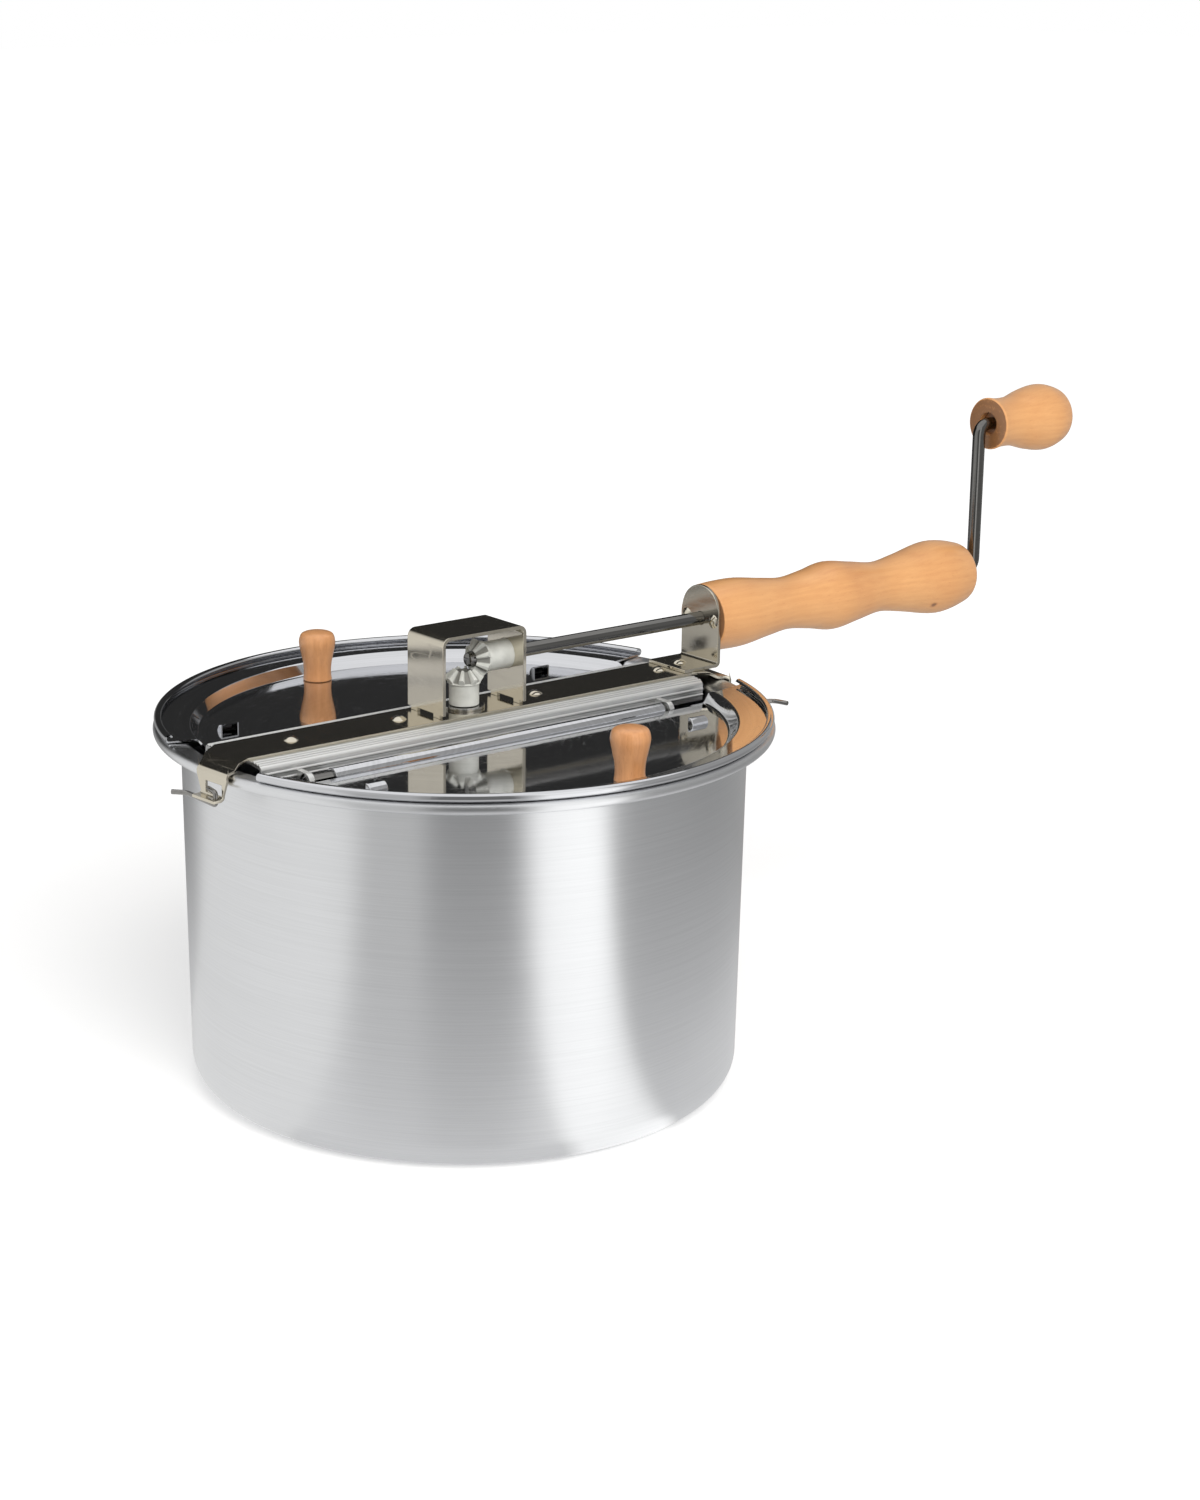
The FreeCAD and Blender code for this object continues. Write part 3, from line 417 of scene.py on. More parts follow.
def round_bar(radius, start, end, sides=24, bore=0.0, ease=0.25):
    """A straight round bar or tube along X, with eased ends."""
    bar, corners = wire([(bore, 0), (radius, 0), (radius, end - start), (bore, end - start)])
    if bore:
        bar.edges.new((corners[3], corners[0]))
    for corner in corners[1:3]:
        round_corner(bar, corner, ease, 2)
    turn_on_z(bar, sides)
    rotate(bar, math.pi / 2, "Y")
    shift(bar, start, 0, 0)
    return bar


def join(whole, part, move=(0, 0, 0)):
    """Adds one shape to another, moved by so many millimetres."""
    shift(part, *move)
    mesh = bpy.data.meshes.new("joined")
    part.to_mesh(mesh)
    part.free()
    whole.from_mesh(mesh)
    bpy.data.meshes.remove(mesh)


def even_faces(piece):
    """Keeps flat faces flat beside their eased edges."""
    piece.modifiers.new("even_faces", "WEIGHTED_NORMAL").keep_sharp = True


rail, corners = wire([(-rail_side, rail_foot), (-rail_side, rail_top - shoulder_drop),
                      (-rail_flat, rail_top), (rail_flat, rail_top),
                      (rail_side, rail_top - shoulder_drop), (rail_side, rail_foot)])
for corner, bend in zip(corners[1:5], (side_bend, shoulder_bend, shoulder_bend, side_bend)):
    round_corner(rail, corner, bend, 5)
grown = bmesh.ops.extrude_edge_only(rail, edges=rail.edges[:])["geom"]
bmesh.ops.translate(rail, vec=(0, 2 * rail_half_length * MM, 0),
                    verts=only(bmesh.types.BMVert, grown))
bmesh.ops.recalc_face_normals(rail, faces=rail.faces)
thicken(rail, rail_sheet, True)
rotate(rail, -math.pi / 2, "Z")
shift(rail, -rail_half_length, 0, 0)
ease_edges(rail, sheet_ease)
slope = shoulder_drop / (rail_side - rail_flat)
for side in (-1, 1):
    beads = [(line, rail_top - (line - rail_flat) * slope - rail_bead * shoulder_sink)
             for line in shoulder_beads]
    beads += [(rail_side - rail_bead * side_sink, rail_foot + rise) for rise in side_beads]
    for line, height in beads:
        join(rail, round_bar(rail_bead, -rail_half_length, rail_half_length),
             (0, side * line, height))
    for start in lug_places:
        place = start if side < 0 else -start - lug_thickness
        join(rail, round_bar(knuckle_radius, place, place + lug_thickness, 40, hinge_bore),
             (0, side * hinge_y, hinge_z))
        web = bmesh.new()
        bmesh.ops.create_cube(web, size=MM)
        bmesh.ops.scale(web, vec=(lug_thickness, hinge_y - rail_side + rail_sheet, knuckle_radius),
                        verts=web.verts)
        ease_edges(web, sheet_ease)
        join(rail, web, (place + lug_thickness / 2, side * (hinge_y + rail_side - rail_sheet) / 2,
                         hinge_z + knuckle_radius / 2))
even_faces(finish_piece("ribbed_rail", rail, satin_aluminium, "lid_frame",
                        ["cross_rail"]))

# ---- Cross strap and bush
# A nickel-plated steel strap lies along the rail, and its ends step down over the rim into
# clip tabs with a window.  A flanged bush goes through both for the stirrer's shaft.
nickel_plate = metal("nickel_plate", colour(216, 209, 193), 0.115, (60, 60, 60),
                     spread=0.03, contrast=0.06, bump=0.03, scratches=0.08)
flat_within = 0.6               # degrees between triangles of one flat face


def eased(name, node, ease, finish, body, crease=38):
    """A pressed or moulded piece: its CAD node's form, with the edges eased."""
    shape = bmesh.new()
    shape.from_mesh(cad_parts[node].data)
    bmesh.ops.remove_doubles(shape, verts=shape.verts, dist=weld)
    bmesh.ops.dissolve_limit(shape, angle_limit=math.radians(flat_within), verts=shape.verts,
                             edges=shape.edges)
    ease_edges(shape, ease, clamp=False)
    piece = finish_piece(name, shape, finish, body, [node], crease)
    even_faces(piece)
    return piece


eased("clip_strap", "cross_strap", sheet_ease, nickel_plate, "lid_frame")
eased("flanged_bush", "shaft_bush", sheet_ease, turned_steel, "lid_frame")

# ---- Strap rivets
# Four dome-headed rivets hold the strap on the rail, and one more holds the handle's foot.
# Each is plated steel, set from above and clenched below.
rivet_places = (-84.5, -32.7, 36.7, 103.9)
strap_top = 156.3
rivet_head, rivet_rise = 3.2, 1.5
rivet_shank = 1.6
rivet_tail, rivet_tail_drop = 2.4, 1.0
rivet_sides = 40
small_crease = 50               # degrees, past which a small head keeps its edge sharp


def dome(chain, edge_vert, radius, rise, seat, up=1):
    """Closes a chain with a low dome, from its rim at this radius in to the axis."""
    ball = (radius ** 2 + rise ** 2) / (2 * rise)
    swing = math.degrees(math.asin(radius / ball))
    roll(chain, edge_vert, (0, seat + up * (rise - ball)), -up * swing, 8)


def set_rivet(seat, foot):
    """A rivet with its head on the seat and its clenched tail at the foot."""
    rivet, corners = wire([(rivet_tail, foot), (rivet_shank, foot), (rivet_shank, seat),
                           (rivet_head, seat)])
    dome(rivet, corners[3], rivet_head, rivet_rise, seat)
    dome(rivet, corners[0], rivet_tail, rivet_tail_drop, foot, -1)
    turn_on_z(rivet, rivet_sides)
    return rivet


rivets = bmesh.new()
for x in rivet_places:
    join(rivets, set_rivet(strap_top, rail_top - rail_sheet), (x, 0, 0))
finish_piece("dome_rivets", rivets, nickel_plate, "lid_frame", ["strap_rivets"],
             small_crease)

# ---- Lid halves
# Each half is spun and pressed from thin aluminium and polished like a mirror: a sunken
# panel, a sloping step, a flange and a rolled bead.  Its straight edge is rolled into a
# hinge barrel round a steel rod, and two louvres are punched up to let out steam.
lid_sheet = 0.7
lid_panel_z = 147.8
lid_step = (108.5, 112.0, 152.85)       # its foot, its head, and the flange's height
lid_bend = 1.6
flat_before_step = 3.0
lid_bead = (124.8, 155.0)
lid_curl = 1.0
lid_edge = -28.96                       # the y of its straight edge
barrel_half = 83.0
barrel_bore = 2.06
notch = (107.5, -33.0)                  # the rail's end: from this x and y
lug_room = (barrel_half, 96.9, -30.66)  # from x to x, and from y
beyond_rim = 200.0
vent_x, vent_y = 80.5, -55.0
vent_radius, vent_length, vent_wall = 3.2, 8.5, 0.6
vent_ease, vent_sunk = 0.5, 0.1
pin_from, pin_to = -95.4, 88.8
pin_play, pin_ease = 0.02, 0.5

polished_aluminium = metal("polished_aluminium", colour(218, 219, 222), 0.055, (8, 8, 900),
                           rings_round_z, spread=0.04, contrast=0.12, bump=0.02,
                           scratches=0.12)


def everything(shape):
    """All of a shape, as an operator that cuts it takes it."""
    return shape.verts[:] + shape.edges[:] + shape.faces[:]


def score(shape, axis, place):
    """Cuts every face along a plane across this axis, and takes nothing away."""
    across = Vector((0, 0, 0))
    across[axis] = 1.0
    bmesh.ops.bisect_plane(shape, geom=everything(shape), plane_co=across * place * MM,
                           plane_no=across, dist=hair)


def clear(shape, low, high):
    """Takes away the faces whose middle lies between two corners, seen from above."""
    for axis in (0, 1):
        for place in (low[axis], high[axis]):
            score(shape, axis, place)
    gone = [face for face in shape.faces
            if all(low[i] < face.calc_center_median()[i] / MM < high[i] for i in (0, 1))]
    bmesh.ops.delete(shape, geom=gone, context="FACES")


def louvre(x):
    """A quarter-round hood, open towards the hinge and down into the panel."""
    hood = round_bar(vent_radius, -vent_length / 2, vent_length / 2, 32, 0.0, vent_ease)
    for away in ((0, 0, -1), (0, 1, 0)):
        bmesh.ops.bisect_plane(hood, geom=everything(hood), dist=hair, plane_co=(0, 0, 0),
                               plane_no=away, clear_outer=True)
    bmesh.ops.solidify(hood, geom=hood.faces[:], thickness=vent_wall * MM)
    shift(hood, x, vent_y + vent_radius, lid_panel_z - vent_sunk)
    return hood


def lid_half(name, node, turn):
    """A lid half with its straight edge towards the rail, turned about the upright axis."""
    step_foot, step_head, flange_z = lid_step
    tangent = tangent_point((step_head, flange_z), lid_bead, lid_curl, -1)
    lid, corners = wire([(0, lid_panel_z), (step_foot - flat_before_step, lid_panel_z),
                         (step_foot, lid_panel_z), (step_head, flange_z), tangent])
    round_corner(lid, corners[2], lid_bend)
    round_corner(lid, corners[3], lid_bend)
    roll(lid, corners[4], lid_bead, -bead_turn)
    turn_on_z(lid, round_steps)
    clear(lid, (-beyond_rim, lid_edge), (beyond_rim, beyond_rim))
    for side in (-1, 1):
        for x0, x1, y0 in ((notch[0], beyond_rim, notch[1]), lug_room):
            clear(lid, (min(side * x0, side * x1), y0), (max(side * x0, side * x1), beyond_rim))
        half_slot = vent_length / 2 - vent_wall
        clear(lid, (side * vent_x - half_slot, vent_y + vent_wall),
              (side * vent_x + half_slot, vent_y + vent_radius))
    thicken(lid, lid_sheet, True)
    join(lid, round_bar(knuckle_radius, -barrel_half, barrel_half, 48, barrel_bore),
         (0, -hinge_y, hinge_z))
    for side in (-1, 1):
        join(lid, louvre(side * vent_x))
    rotate(lid, turn, "Z")
    even_faces(finish_piece(name, lid, polished_aluminium, node.replace("_panel", ""),
                            [node]))


lid_half("front_lid_half", "front_lid_panel", 0.0)
lid_half("rear_lid_half", "rear_lid_panel", math.pi)
for name, turn in (("front_hinge", 0.0), ("rear_hinge", math.pi)):
    pin = round_bar(hinge_bore - pin_play, pin_from, pin_to, 24, 0.0, pin_ease)
    shift(pin, 0, -hinge_y, hinge_z)
    rotate(pin, turn, "Z")
    finish_piece(name + "_pin", pin, drawn_steel, "lid_frame", [name + "_rod"])

# ---- Lid knobs
# Two small turned beech knobs with a narrow foot and a swelling head, stained a little and
# varnished.  Each is held by a steel screw and washer from under the panel.
knob_place = (5.4, -100.0)
knob_height = 22.0
knob_foot = 6.5
knob_outline = ((0.0, 0.97), (0.16, 0.91), (0.34, 0.95), (0.56, 1.1), (0.76, 1.22), (0.9, 1.13))
knob_hole = (1.8, 14.0)

# Beech: growth rings along the grain, drawn-out streaks, and the short flecks of its rays.
ring_stretch = (1.0, 1.0, 0.07)
streak_stretch = (900.0, 900.0, 22.0)
fleck_stretch = (2600.0, 2600.0, 420.0)
beech_grain, lay, given, out = new_group("beech_grain", {"Vector": "Vector"},
                                         ("Rings", "Streaks", "Flecks"))
years, fibres, rays = [lay.vector("MULTIPLY", given["Vector"], stretch)["Vector"]
                       for stretch in (ring_stretch, streak_stretch, fleck_stretch)]
rings = lay.add("TexWave", {"Vector": years}, wave_type="BANDS", Scale=95.0, Distortion=7.0,
                Detail=4.0, Detail_Scale=1.4)
streaks = lay.add("TexNoise", {"Vector": fibres}, Scale=1.0, Detail=3.0, Roughness=0.6)
flecks = lay.add("TexNoise", {"Vector": rays}, Scale=1.0, Detail=1.0)
fleck_from, fleck_to = 0.64, 0.74
lay.tree.links.new(rings.outputs["Fac"], out["Rings"])
lay.tree.links.new(streaks.outputs[0], out["Streaks"])
lay.tree.links.new(lay.spread(flecks.outputs[0], fleck_from, fleck_to, 0.0, 1.0),
                   out["Flecks"])

ring_share, streak_share, cloud_share, fleck_share = 0.09, 0.42, 0.6, 0.16
knot_core, knot_edge, knot_depth = 0.6, 2.4, 0.6    # two radii, and how dark it is
# painted shade on faces turned one way: how squarely they face it, from and to, and how dark
end_shade_from, end_shade_to, end_shade_depth = 0.9, 0.99, 0.6
varnish_low, varnish_high = 0.34, 0.46
burnt = 0.42                    # the darkest wood, as a share of the dark tone


def beech(name, light, dark, turn=(0.0, 0.0, 0.0), centre=(0.0, 0.0, 0.0), knot=None,
          shade_facing=None):
    """Varnished beech, its grain along Z, or along X where the pattern is turned.

    A knot is a point, and the last argument a direction: faces that look along it get a painted
    shade."""
    material, lay, shader = new_material(name, Coat_Weight=0.6, Coat_Roughness=0.2, Coat_IOR=1.5)
    placed = lay.add("Mapping", {"Vector": own_place(lay)}, Location=centre, Rotation=turn)
    grain = lay.add("Group", {"Vector": placed.outputs[0]}, node_tree=beech_grain)
    cloud = lay.add("TexNoise", {"Vector": placed.outputs[0]}, Scale=34.0, Detail=2.0)
    mixed = lay.math("ADD", lay.math("MULTIPLY", grain.outputs["Rings"], ring_share),
                     lay.math("MULTIPLY", grain.outputs["Streaks"], streak_share))
    mixed = lay.math("ADD", mixed, lay.math("MULTIPLY", cloud.outputs[0], cloud_share))
    mixed = lay.math("SUBTRACT", mixed, lay.math("MULTIPLY", grain.outputs["Flecks"], fleck_share))
    if knot:
        off = lay.vector("DISTANCE", own_place(lay), Vector(knot) * MM)["Value"]
        dark_spot = lay.spread(off, knot_core * MM, knot_edge * MM, knot_depth, 0.0)
        mixed = lay.math("SUBTRACT", mixed, dark_spot)
    # painted shade: darkens the faces that look along the given direction
    if shade_facing:
        normal = lay.add("TexCoord").outputs["Normal"]
        facing = lay.vector("DOT_PRODUCT", normal, shade_facing)["Value"]
        painted_end_shade = lay.spread(facing, end_shade_from, end_shade_to, 0.0, end_shade_depth)
        mixed = lay.math("SUBTRACT", mixed, painted_end_shade)
    middle = tuple((a + b) / 2 for a, b in zip(light, dark))
    lay.drive(shader, "Base Color", lay.ramp(mixed, [
        (0.0, shade(dark, burnt)), (0.28, dark), (0.5, middle), (0.74, light)]))
    lay.drive(shader, "Roughness", lay.spread(grain.outputs["Streaks"], noise_low, noise_high,
                                              varnish_low, varnish_high))
    dent = lay.add("Bump", {"Height": grain.outputs["Streaks"]}, Strength=0.05,
                   Distance=bump_depth)
    lay.drive(shader, "Normal", dent.outputs["Normal"])
    return material


dome_leans = (35, 65)           # degrees round a turned end's dome
dome_pull = 0.45
face_ease = 0.8


def outline(stations, length, steps=7):
    """A turner's flowing outline through (height, radius) stations, closed by a dome."""
    end_height, end_radius = stations[-1]
    crown = length - end_height
    for lean in dome_leans:
        swing = math.radians(lean)
        stations = stations + [(length - crown * (1 - math.sin(swing)),
                                end_radius * math.cos(swing))]
    places = [Vector((radius, height)) for height, radius in stations] + [Vector((0.0, length))]
    flow = [(b - a) / 2 for a, b in zip(places, places[2:])]
    flow = [places[1] - places[0]] + flow + [Vector((-end_radius * dome_pull, 0.0))]
    points = [places[0]]
    for i in range(len(places) - 1):
        curve = interpolate_bezier(places[i], places[i] + flow[i] / 3,
                                   places[i + 1] - flow[i + 1] / 3, places[i + 1], steps)
        points += curve[1:]
    return [tuple(point) for point in points]


def turned_wood(stations, length, bore, steps=72):
    """Turned wood along Z with a flat face at 0; bore is its hole, from inside to the face."""
    chain, corners = wire(bore + outline(stations, length))
    round_corner(chain, corners[len(bore)], face_ease, 4)
    turn_on_z(chain, steps)
    return chain


stained_beech = beech("stained_beech", colour(222, 160, 106), colour(190, 128, 78))
radius, depth = knob_hole
for side, body in ((1, "front_lid"), (-1, "rear_lid")):
    knob = turned_wood([(h * knob_height, r * knob_foot) for h, r in knob_outline], knob_height,
                       [(0, depth), (radius, depth), (radius, 0)])
    shift(knob, side * knob_place[0], side * knob_place[1], lid_panel_z)
    finish_piece(body + "_turned_knob", knob, stained_beech, body,
                 [body + "_knob"])
    under = body.replace("lid", "knob")
    dress(turned_steel, under + "_screw", under + "_washer")

# ---- Gear bracket
# An inverted U of nickel-plated strip that stands on four short feet on the strap.
# Its right leg is bored for the hub of the drive gear.
strip_ease = 0.25
eased("gear_bridge", "gear_bracket", strip_ease, nickel_plate, "lid_frame")

# ---- Gears
# A pair of moulded nylon mitre gears in mesh, off-white, with eight coarse teeth each.
# The crank turns the upper one, and the lower one carries the stirrer's shaft.  Shade is painted
# into the roots between their teeth.
crank_z = 175.9
gear_apex = (0.0, 0.0, crank_z)         # where the two axes cross
pitch_cone = math.pi / 4
tooth_root, tooth_flank = pitch_cone - 0.15, pitch_cone - 0.05
tooth_reach, tooth_end = 10.5, 10.8     # distance from the apex, past which no shade is painted in the roots
# how dark the painted shade in the tooth roots is
root_shade_depth = 0.85
nylon_low, nylon_high = 0.36, 0.5       # its roughness
gear_ease, gear_crease = 0.15, 30


def nylon(name, axis):
    """Off-white nylon, with painted shade darkening the roots between the teeth."""
    material, lay, shader = new_material(name, Specular_IOR_Level=0.45)
    place = own_place(lay)
    cloud = lay.add("TexNoise", {"Vector": place}, Scale=160.0, Detail=3.0)
    grit = lay.add("TexNoise", {"Vector": place}, Scale=1400.0, Detail=2.0)
    plain = lay.ramp(cloud.outputs[0], [(noise_low, colour(202, 203, 197)),
                                        (noise_high, colour(226, 227, 221))])
    from_apex = lay.vector("SUBTRACT", place, Vector(gear_apex) * MM)["Vector"]
    facing = lay.add("VectorMath", {0: from_apex}, operation="NORMALIZE").outputs[0]
    along = lay.vector("DOT_PRODUCT", facing, axis)["Value"]
    cone = lay.math("ARCCOSINE", along, 0.0)
    # painted shade: a mask over the roots between the teeth, near the apex
    root_shade_mask = lay.math("MULTIPLY", lay.spread(cone, tooth_root, tooth_flank, root_shade_depth, 0.0),
                    lay.spread(lay.length(from_apex), tooth_reach * MM, tooth_end * MM, 1.0, 0.0))
    root_shaded = lay.add("Mix", {"Factor": root_shade_mask}, data_type="RGBA")
    lay.drive(root_shaded, 6, plain)
    # the dark grey of the painted shade in the tooth roots
    root_shaded.inputs[7].default_value = colour(92, 90, 84)
    lay.drive(shader, "Base Color", root_shaded.outputs[2])
    lay.drive(shader, "Roughness", lay.spread(grit.outputs[0], noise_low, noise_high,
                                              nylon_low, nylon_high))
    dent = lay.add("Bump", {"Height": grit.outputs[0]}, Strength=0.06, Distance=bump_depth)
    lay.drive(shader, "Normal", dent.outputs["Normal"])
    return material


upper_nylon = nylon("upper_nylon", (1.0, 0.0, 0.0))
lower_nylon = nylon("lower_nylon", (0.0, 0.0, -1.0))
eased("upper_gear", "drive_gear", gear_ease, upper_nylon, "crank", gear_crease)
eased("lower_gear", "driven_gear", gear_ease, lower_nylon, "stirrer", gear_crease)

# ---- Handle bracket
# A plated strip bent to an L: its long foot is riveted to the strap, and its upright plate
# with a round head carries the grip by two dome-headed screws.
plate_x = 126.8
handle_sheet = 1.6
foot_rivet_x = 115.4
screw_side = 8.6
screw_head, screw_rise = 3.0, 1.4
screw_reach = 18.6
driver_slot, slot_depth = 0.35, 0.6     # half its width, and how deep it is cut
slot_above, slot_turn = 0.2, 0.6        # over the seat, and the turn of each slot in radians
eased("handle_plate", "handle_bracket", strip_ease, nickel_plate, "lid_frame")
foot_rivet = set_rivet(strap_top + handle_sheet, rail_top)
shift(foot_rivet, foot_rivet_x, 0, 0)
finish_piece("foot_rivet", foot_rivet, nickel_plate, "lid_frame",
             ["handle_bracket_rivet"], small_crease)

screws = bmesh.new()
for side in (-1, 1):
    screw, corners = wire([(0, -screw_reach), (rivet_shank, -screw_reach), (rivet_shank, 0),
                           (screw_head, 0)])
    dome(screw, corners[3], screw_head, screw_rise, 0)
    turn_on_z(screw, rivet_sides)
    score(screw, 1, -driver_slot)
    score(screw, 1, driver_slot)
    slot = [face for face in screw.faces if face.calc_center_median().z > slot_above * MM
            and abs(face.calc_center_median().y) < driver_slot * MM]
    sunk = bmesh.ops.extrude_face_region(screw, geom=slot)["geom"]
    bmesh.ops.delete(screw, geom=slot, context="FACES")
    bmesh.ops.translate(screw, vec=(0, 0, -slot_depth * MM), verts=only(bmesh.types.BMVert, sunk))
    rotate(screw, slot_turn * side, "Z")
    rotate(screw, -math.pi / 2, "Y")
    join(screws, screw, (plate_x, side * screw_side, crank_z))
finish_piece("slotted_screws", screws, nickel_plate, "lid_frame",
             ["handle_screws"], small_crease)

# ---- Handle grip
# Turned beech with three swells, bored right through for the crank rod and varnished.
# The grain runs along it.
grip_start = 128.4
grip_length = 159.2
grip_places = (0.0, 0.06, 0.125, 0.215, 0.295, 0.38, 0.46, 0.55, 0.645, 0.74, 0.86, 0.95)
grip_radii = (14.6, 15.1, 14.9, 12.9, 11.6, 13.2, 15.3, 13.4, 11.4, 13.4, 16.7, 14.6)
grip_bore = 3.02
bore_end = grip_length - 4.0

grain_along_x = (0.0, math.pi / 2, 0.0)
grain_centre = (0.003, 0.012, 0.02)     # in metres
small_knot = (257.0, -12.0, 166.0)
# faces looking this way, such as the crank knob's end, get a painted shade
shaded_face_direction = (-1.0, 0.0, 0.0)
pale_beech = beech("pale_beech", colour(232, 173, 113), colour(214, 149, 92), grain_along_x,
                   grain_centre, small_knot, shaded_face_direction)
stations = [(share * grip_length, r) for share, r in zip(grip_places, grip_radii)]
grip = turned_wood(stations, grip_length, [(0, bore_end), (grip_bore, bore_end), (grip_bore, 0)],
                   96)
rotate(grip, math.pi / 2, "Y")
shift(grip, grip_start, 0, crank_z)
finish_piece("turned_grip", grip, pale_beech, "lid_frame", ["handle_grip"])

# ---- Crank rod
# One bright steel rod runs from the drive gear through the grip, turns up as the
# crank arm and runs on into the knob, where a pressed cap keeps the knob on.
rod_radius = 2.9
rod_start = 1.5
arm_x = 293.7
arm_length = 67.5
lower_bend, upper_bend = 5.6, 4.8
knob_face = 299.2
rod_inside_knob = 12.0

rod = bent_wire([(rod_start, 0, crank_z), (arm_x, 0, crank_z), (arm_x, 0, crank_z + arm_length),
                 (knob_face + rod_inside_knob, 0, crank_z + arm_length)],
                (lower_bend, upper_bend), rod_radius, 40)
finish_piece("bent_crank_rod", rod, drawn_steel, "crank", ["crank_rod"])
dress(turned_steel, "crank_rod_cap")

# ---- Crank knob
# A pear-shaped beech knob that turns freely on the rod's end, with a round recess where
# the rod goes in and a pocket inside for the cap.
crank_knob_length = 47.0
crank_knob_places = (0.0, 0.13, 0.3, 0.5, 0.7, 0.86)
crank_knob_radii = (12.0, 11.2, 11.5, 14.0, 15.3, 13.6)
rod_hole, cap_pocket, mouth_recess = 2.96, 4.9, 5.3
pocket_end, pocket_start, recess_depth = 12.3, 9.9, 3.0
crank_knob_inside = [(0, pocket_end), (cap_pocket, pocket_end), (cap_pocket, pocket_start),
                     (rod_hole, pocket_start), (rod_hole, recess_depth),
                     (mouth_recess, recess_depth), (mouth_recess, 0)]

stations = [(share * crank_knob_length, r)
            for share, r in zip(crank_knob_places, crank_knob_radii)]
knob = turned_wood(stations, crank_knob_length, crank_knob_inside)
rotate(knob, math.pi / 2, "Y")
shift(knob, knob_face, 0, crank_z + arm_length)
finish_piece("pear_knob", knob, pale_beech, "crank_knob", ["crank_knob"])

# ---- Wire clips
# Two bent spring-steel wires, one in each tab of the strap.  The lever under the tab's foot
# turns a hook in under the pan's bead; the handle side's clip stands open.
clip_wire = 1.0                         # its radius
clip_pivot = (130.3, 4.6)
clip_top, clip_foot = 146.4, 141.4
hook_reach, hook_turn = 7.2, 76.0       # turns are degrees round the pivot
lever_reach, lever_turn = 21.0, 85.0
tail_length, tail_turn = 5.0, 9.5
clip_bends = (1.4, 1.4, 5.0)
opened_by = 122.0
tab_turn = 5.0

spring_steel = metal("spring_steel", colour(152, 150, 147), 0.15, (400, 400, 400),
                     spread=0.05, contrast=0.2)


def clip(swung):
    """The left tab's clip, swung round its pivot by so many degrees."""
    def out(degrees, reach, height):
        swing = math.radians(degrees)
        return (reach * math.cos(swing), reach * math.sin(swing), height)

    wire = bent_wire([out(hook_turn, hook_reach, clip_top), (0, 0, clip_top), (0, 0, clip_foot),
                      out(lever_turn, lever_reach, clip_foot),
                      out(lever_turn + tail_turn, lever_reach + tail_length, clip_foot)],
                     clip_bends, clip_wire, 20)
    rotate(wire, math.radians(swung), "Z")
    shift(wire, -clip_pivot[0], -clip_pivot[1], 0)
    rotate(wire, math.radians(tab_turn), "Z")
    return wire


finish_piece("left_wire_clip", clip(0.0), spring_steel, "left_clip", ["left_clip"])
mirrored = clip(opened_by)
bmesh.ops.scale(mirrored, vec=(-1, 1, 1), verts=mirrored.verts)
bmesh.ops.recalc_face_normals(mirrored, faces=mirrored.faces)
finish_piece("right_wire_clip", mirrored, spring_steel, "right_clip",
             ["right_clip"])

# ---- Studio
# A pale floor that runs into a white background, one soft lamp from the left and above, a
# ring of paler and darker walls that shows only in reflections, and the camera.
wall_foot = 106.0
wall_radius = 460.0
wall_height = 620.0
wall_bend = 60.0
wall_lift = 0.2
# Each stop is a share of the round, from the left end of X, and a brightness.
low_walls = (
    (0.000, 0.89), (0.035, 0.87), (0.058, 0.56), (0.105, 0.58), (0.128, 0.19), (0.190, 0.17),
    (0.222, 1.20), (0.283, 1.35), (0.302, 0.48), (0.328, 0.33), (0.425, 0.29), (0.480, 0.34),
    (0.590, 0.42), (0.740, 0.30), (0.790, 0.36), (0.835, 0.82), (1.000, 0.89))
high_walls = (
    (0.000, 0.86), (0.050, 0.60), (0.105, 0.55), (0.130, 0.20), (0.190, 0.20), (0.222, 1.10),
    (0.283, 1.15), (0.310, 0.42), (0.425, 0.38), (0.500, 0.42), (0.560, 0.34), (0.585, 0.03),
    (0.800, 0.03), (0.845, 0.80), (1.000, 0.86))
foot_light, foot_from, foot_to = 0.76, 0.14, 0.57       # brightness, and reach in metres
low_below, high_above = 0.12, 0.2                       # metres up
wall_warmth = 0.99

ring, corners = wire([(wall_foot, wall_lift), (wall_radius, wall_lift),
                      (wall_radius, wall_height)])
round_corner(ring, corners[1], wall_bend, 8)
turn_on_z(ring, 96)
ring_mesh = bpy.data.meshes.new("studio_walls")
ring.to_mesh(ring_mesh)
ring.free()
wall_paint = bpy.data.materials.new("studio_walls")
wall_paint.use_nodes = True
wall_paint.node_tree.nodes.clear()
lay = Nodes(wall_paint.node_tree)
turn = lay.add("TexGradient", {"Vector": own_place(lay)}, gradient_type="RADIAL")


def greys(stops):
    """A ramp's stops, from shares of the round and their brightness."""
    return [(place, (level, level, level * wall_warmth, 1.0)) for place, level in stops]


reach = lay.length(lay.vector("MULTIPLY", own_place(lay), (1, 1, 0))["Vector"])
height = lay.add("SeparateXYZ", {0: own_place(lay)}).outputs["Z"]
near_foot = lay.spread(lay.math("ADD", reach, height), foot_from, foot_to, foot_light, 0.0)
below = lay.add("VectorMath", {0: lay.ramp(turn.outputs["Fac"], greys(low_walls)), 1: near_foot},
                operation="MAXIMUM")
above = lay.add("Mix", {"Factor": lay.spread(height, low_below, high_above, 0.0, 1.0)},
                data_type="RGBA")
lay.drive(above, 6, below.outputs[0])
lay.drive(above, 7, lay.ramp(turn.outputs["Fac"], greys(high_walls)))
glow = lay.add("Emission", {"Color": above.outputs[2]}, Strength=1.0)
lay.add("OutputMaterial", {"Surface": glow.outputs[0]})
ring_mesh.materials.append(wall_paint)
studio_walls = bpy.data.objects.new("studio_walls", ring_mesh)
bpy.context.scene.collection.objects.link(studio_walls)
studio_walls.visible_camera = False
studio_walls.visible_diffuse = False
studio_walls.visible_shadow = False

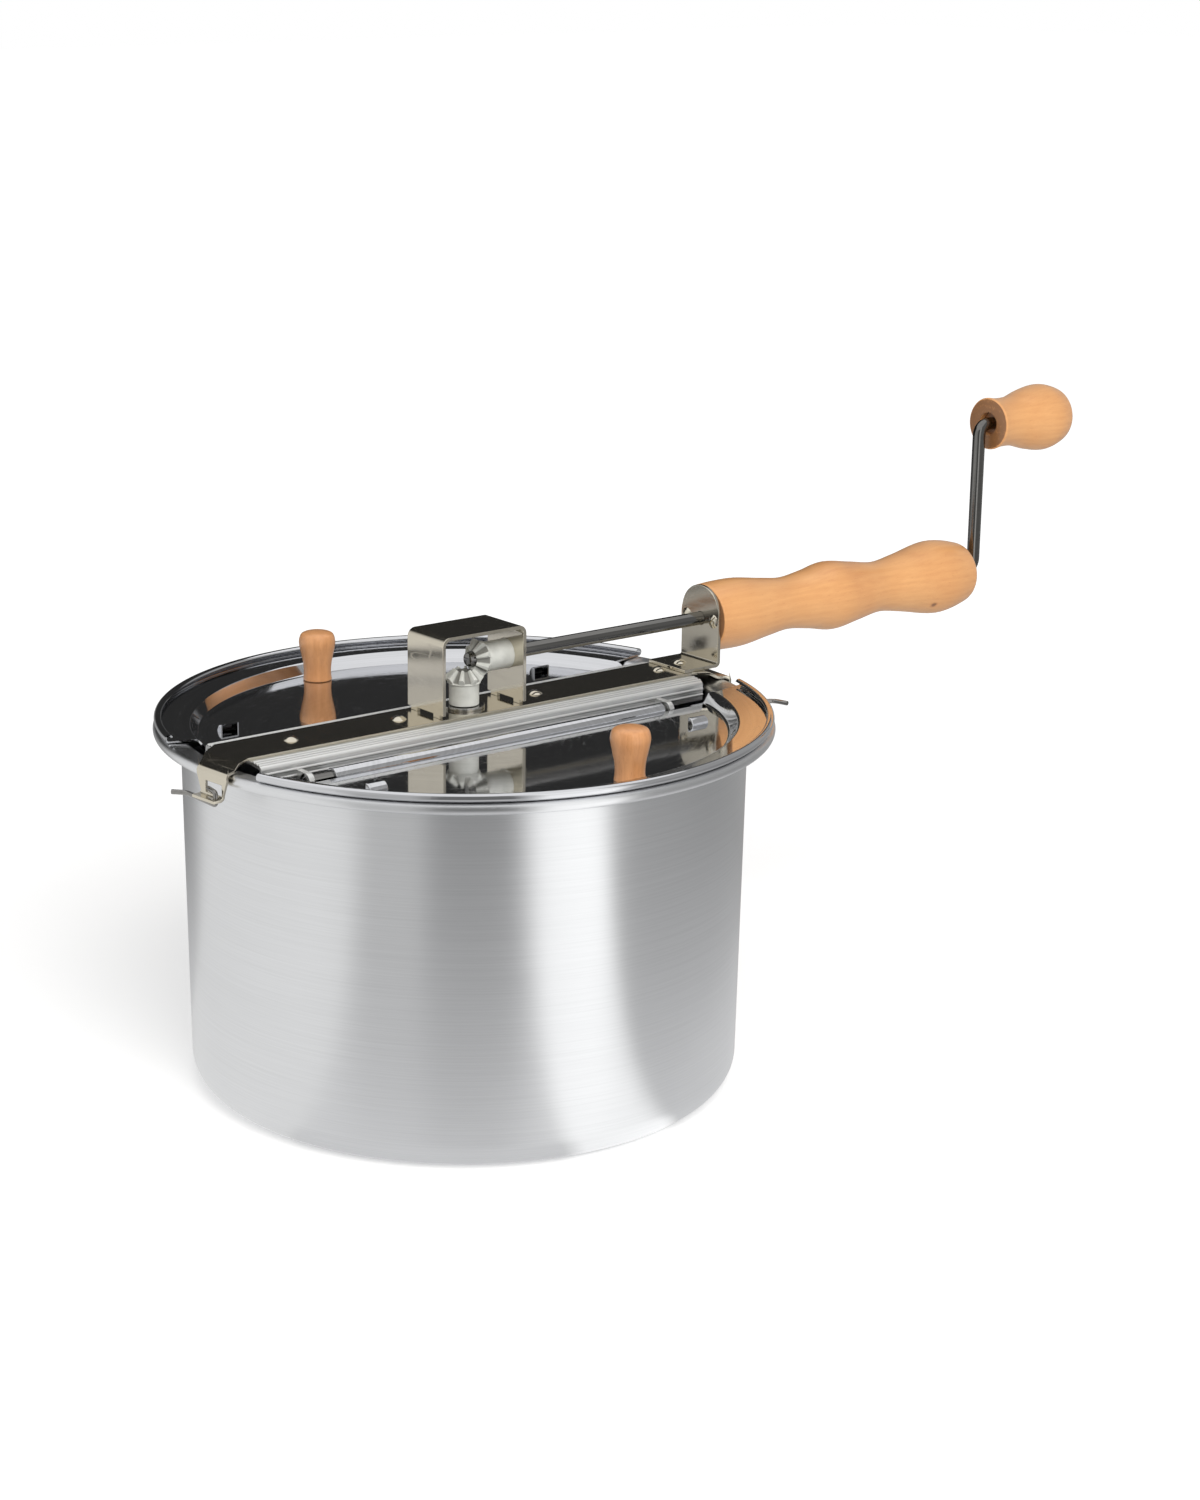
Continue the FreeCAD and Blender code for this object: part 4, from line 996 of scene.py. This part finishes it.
lamp_place, lamp_aim = Vector((-0.5, -1.4, 1.4)), Vector((0.05, 0, 0.1))
lamp_data = bpy.data.lights.new("soft_lamp", "AREA")
lamp_data.shape = "DISK"
lamp_data.size = 1.3
lamp_data.energy = 26.0
lamp_data.color = (1.0, 0.985, 0.96)
lamp = bpy.data.objects.new("soft_lamp", lamp_data)
lamp.location = lamp_place
lamp.rotation_mode = "QUATERNION"
lamp.rotation_quaternion = (lamp_aim - lamp_place).to_track_quat("-Z", "Y")
lamp.visible_glossy = False
bpy.context.scene.collection.objects.link(lamp)

floor_half = 9.0                                    # metres
floor_drop = 0.3
floor_near, floor_far = (0.3, 0.28), (1.0, 0.5)     # metres from the middle, and brightness
floor_shape = bmesh.new()
bmesh.ops.create_grid(floor_shape, x_segments=1, y_segments=1, size=floor_half)
shift(floor_shape, 0, 0, -floor_drop)
floor_mesh = bpy.data.meshes.new("floor")
floor_shape.to_mesh(floor_mesh)
floor_shape.free()
floor_paint, lay, shader = new_material("pale_floor", Base_Color=(0.9, 0.9, 0.9, 1),
                                        Roughness=0.9, Specular_IOR_Level=0.0,
                                        Emission_Color=(1, 1, 1, 1))


def seen_straight_or_in_metal(lay):
    """1 for rays from the camera, from gloss and through glass, and 0 for plain light."""
    rays = lay.add("LightPath").outputs
    either = lay.math("ADD", rays["Is Camera Ray"], rays["Is Glossy Ray"])
    return lay.math("MINIMUM", lay.math("ADD", either, rays["Is Transmission Ray"]), 1.0)


brightness = lay.spread(lay.length(own_place(lay)), floor_near[0], floor_far[0],
                        floor_near[1], floor_far[1])
lay.drive(shader, "Emission Strength",
          lay.math("MULTIPLY", seen_straight_or_in_metal(lay), brightness))
floor_mesh.materials.append(floor_paint)
floor = bpy.data.objects.new("floor", floor_mesh)
bpy.context.scene.collection.objects.link(floor)

world_light = 0.58
world = bpy.data.worlds.new("studio")
world.use_nodes = True
bpy.context.scene.world = world
lay = Nodes(world.node_tree)
background = world.node_tree.nodes["Background"]
background.inputs["Color"].default_value = (1, 1, 1, 1)
lay.drive(background, "Strength",
          lay.spread(seen_straight_or_in_metal(lay), 0.0, 1.0, world_light, 1.0))

view_azimuth, view_elevation, view_distance = math.radians(-36.2), math.radians(15.9), 1.2
target = Vector((-0.0046, 0.0034, 0.1379))
back = Vector((math.sin(view_azimuth) * math.cos(view_elevation),
               -math.cos(view_azimuth) * math.cos(view_elevation), math.sin(view_elevation)))
camera_data = bpy.data.cameras.new("camera")
camera_data.lens = 70.06
camera_data.shift_x = 0.10
camera_data.clip_start = 0.01
camera_data.clip_end = 60.0
camera = bpy.data.objects.new("camera", camera_data)
camera.location = target + back * view_distance
camera.rotation_mode = "QUATERNION"
camera.rotation_quaternion = (-back).to_track_quat("-Z", "Y")
bpy.context.scene.collection.objects.link(camera)
bpy.context.scene.camera = camera
bpy.context.scene.view_settings.view_transform = "Standard"
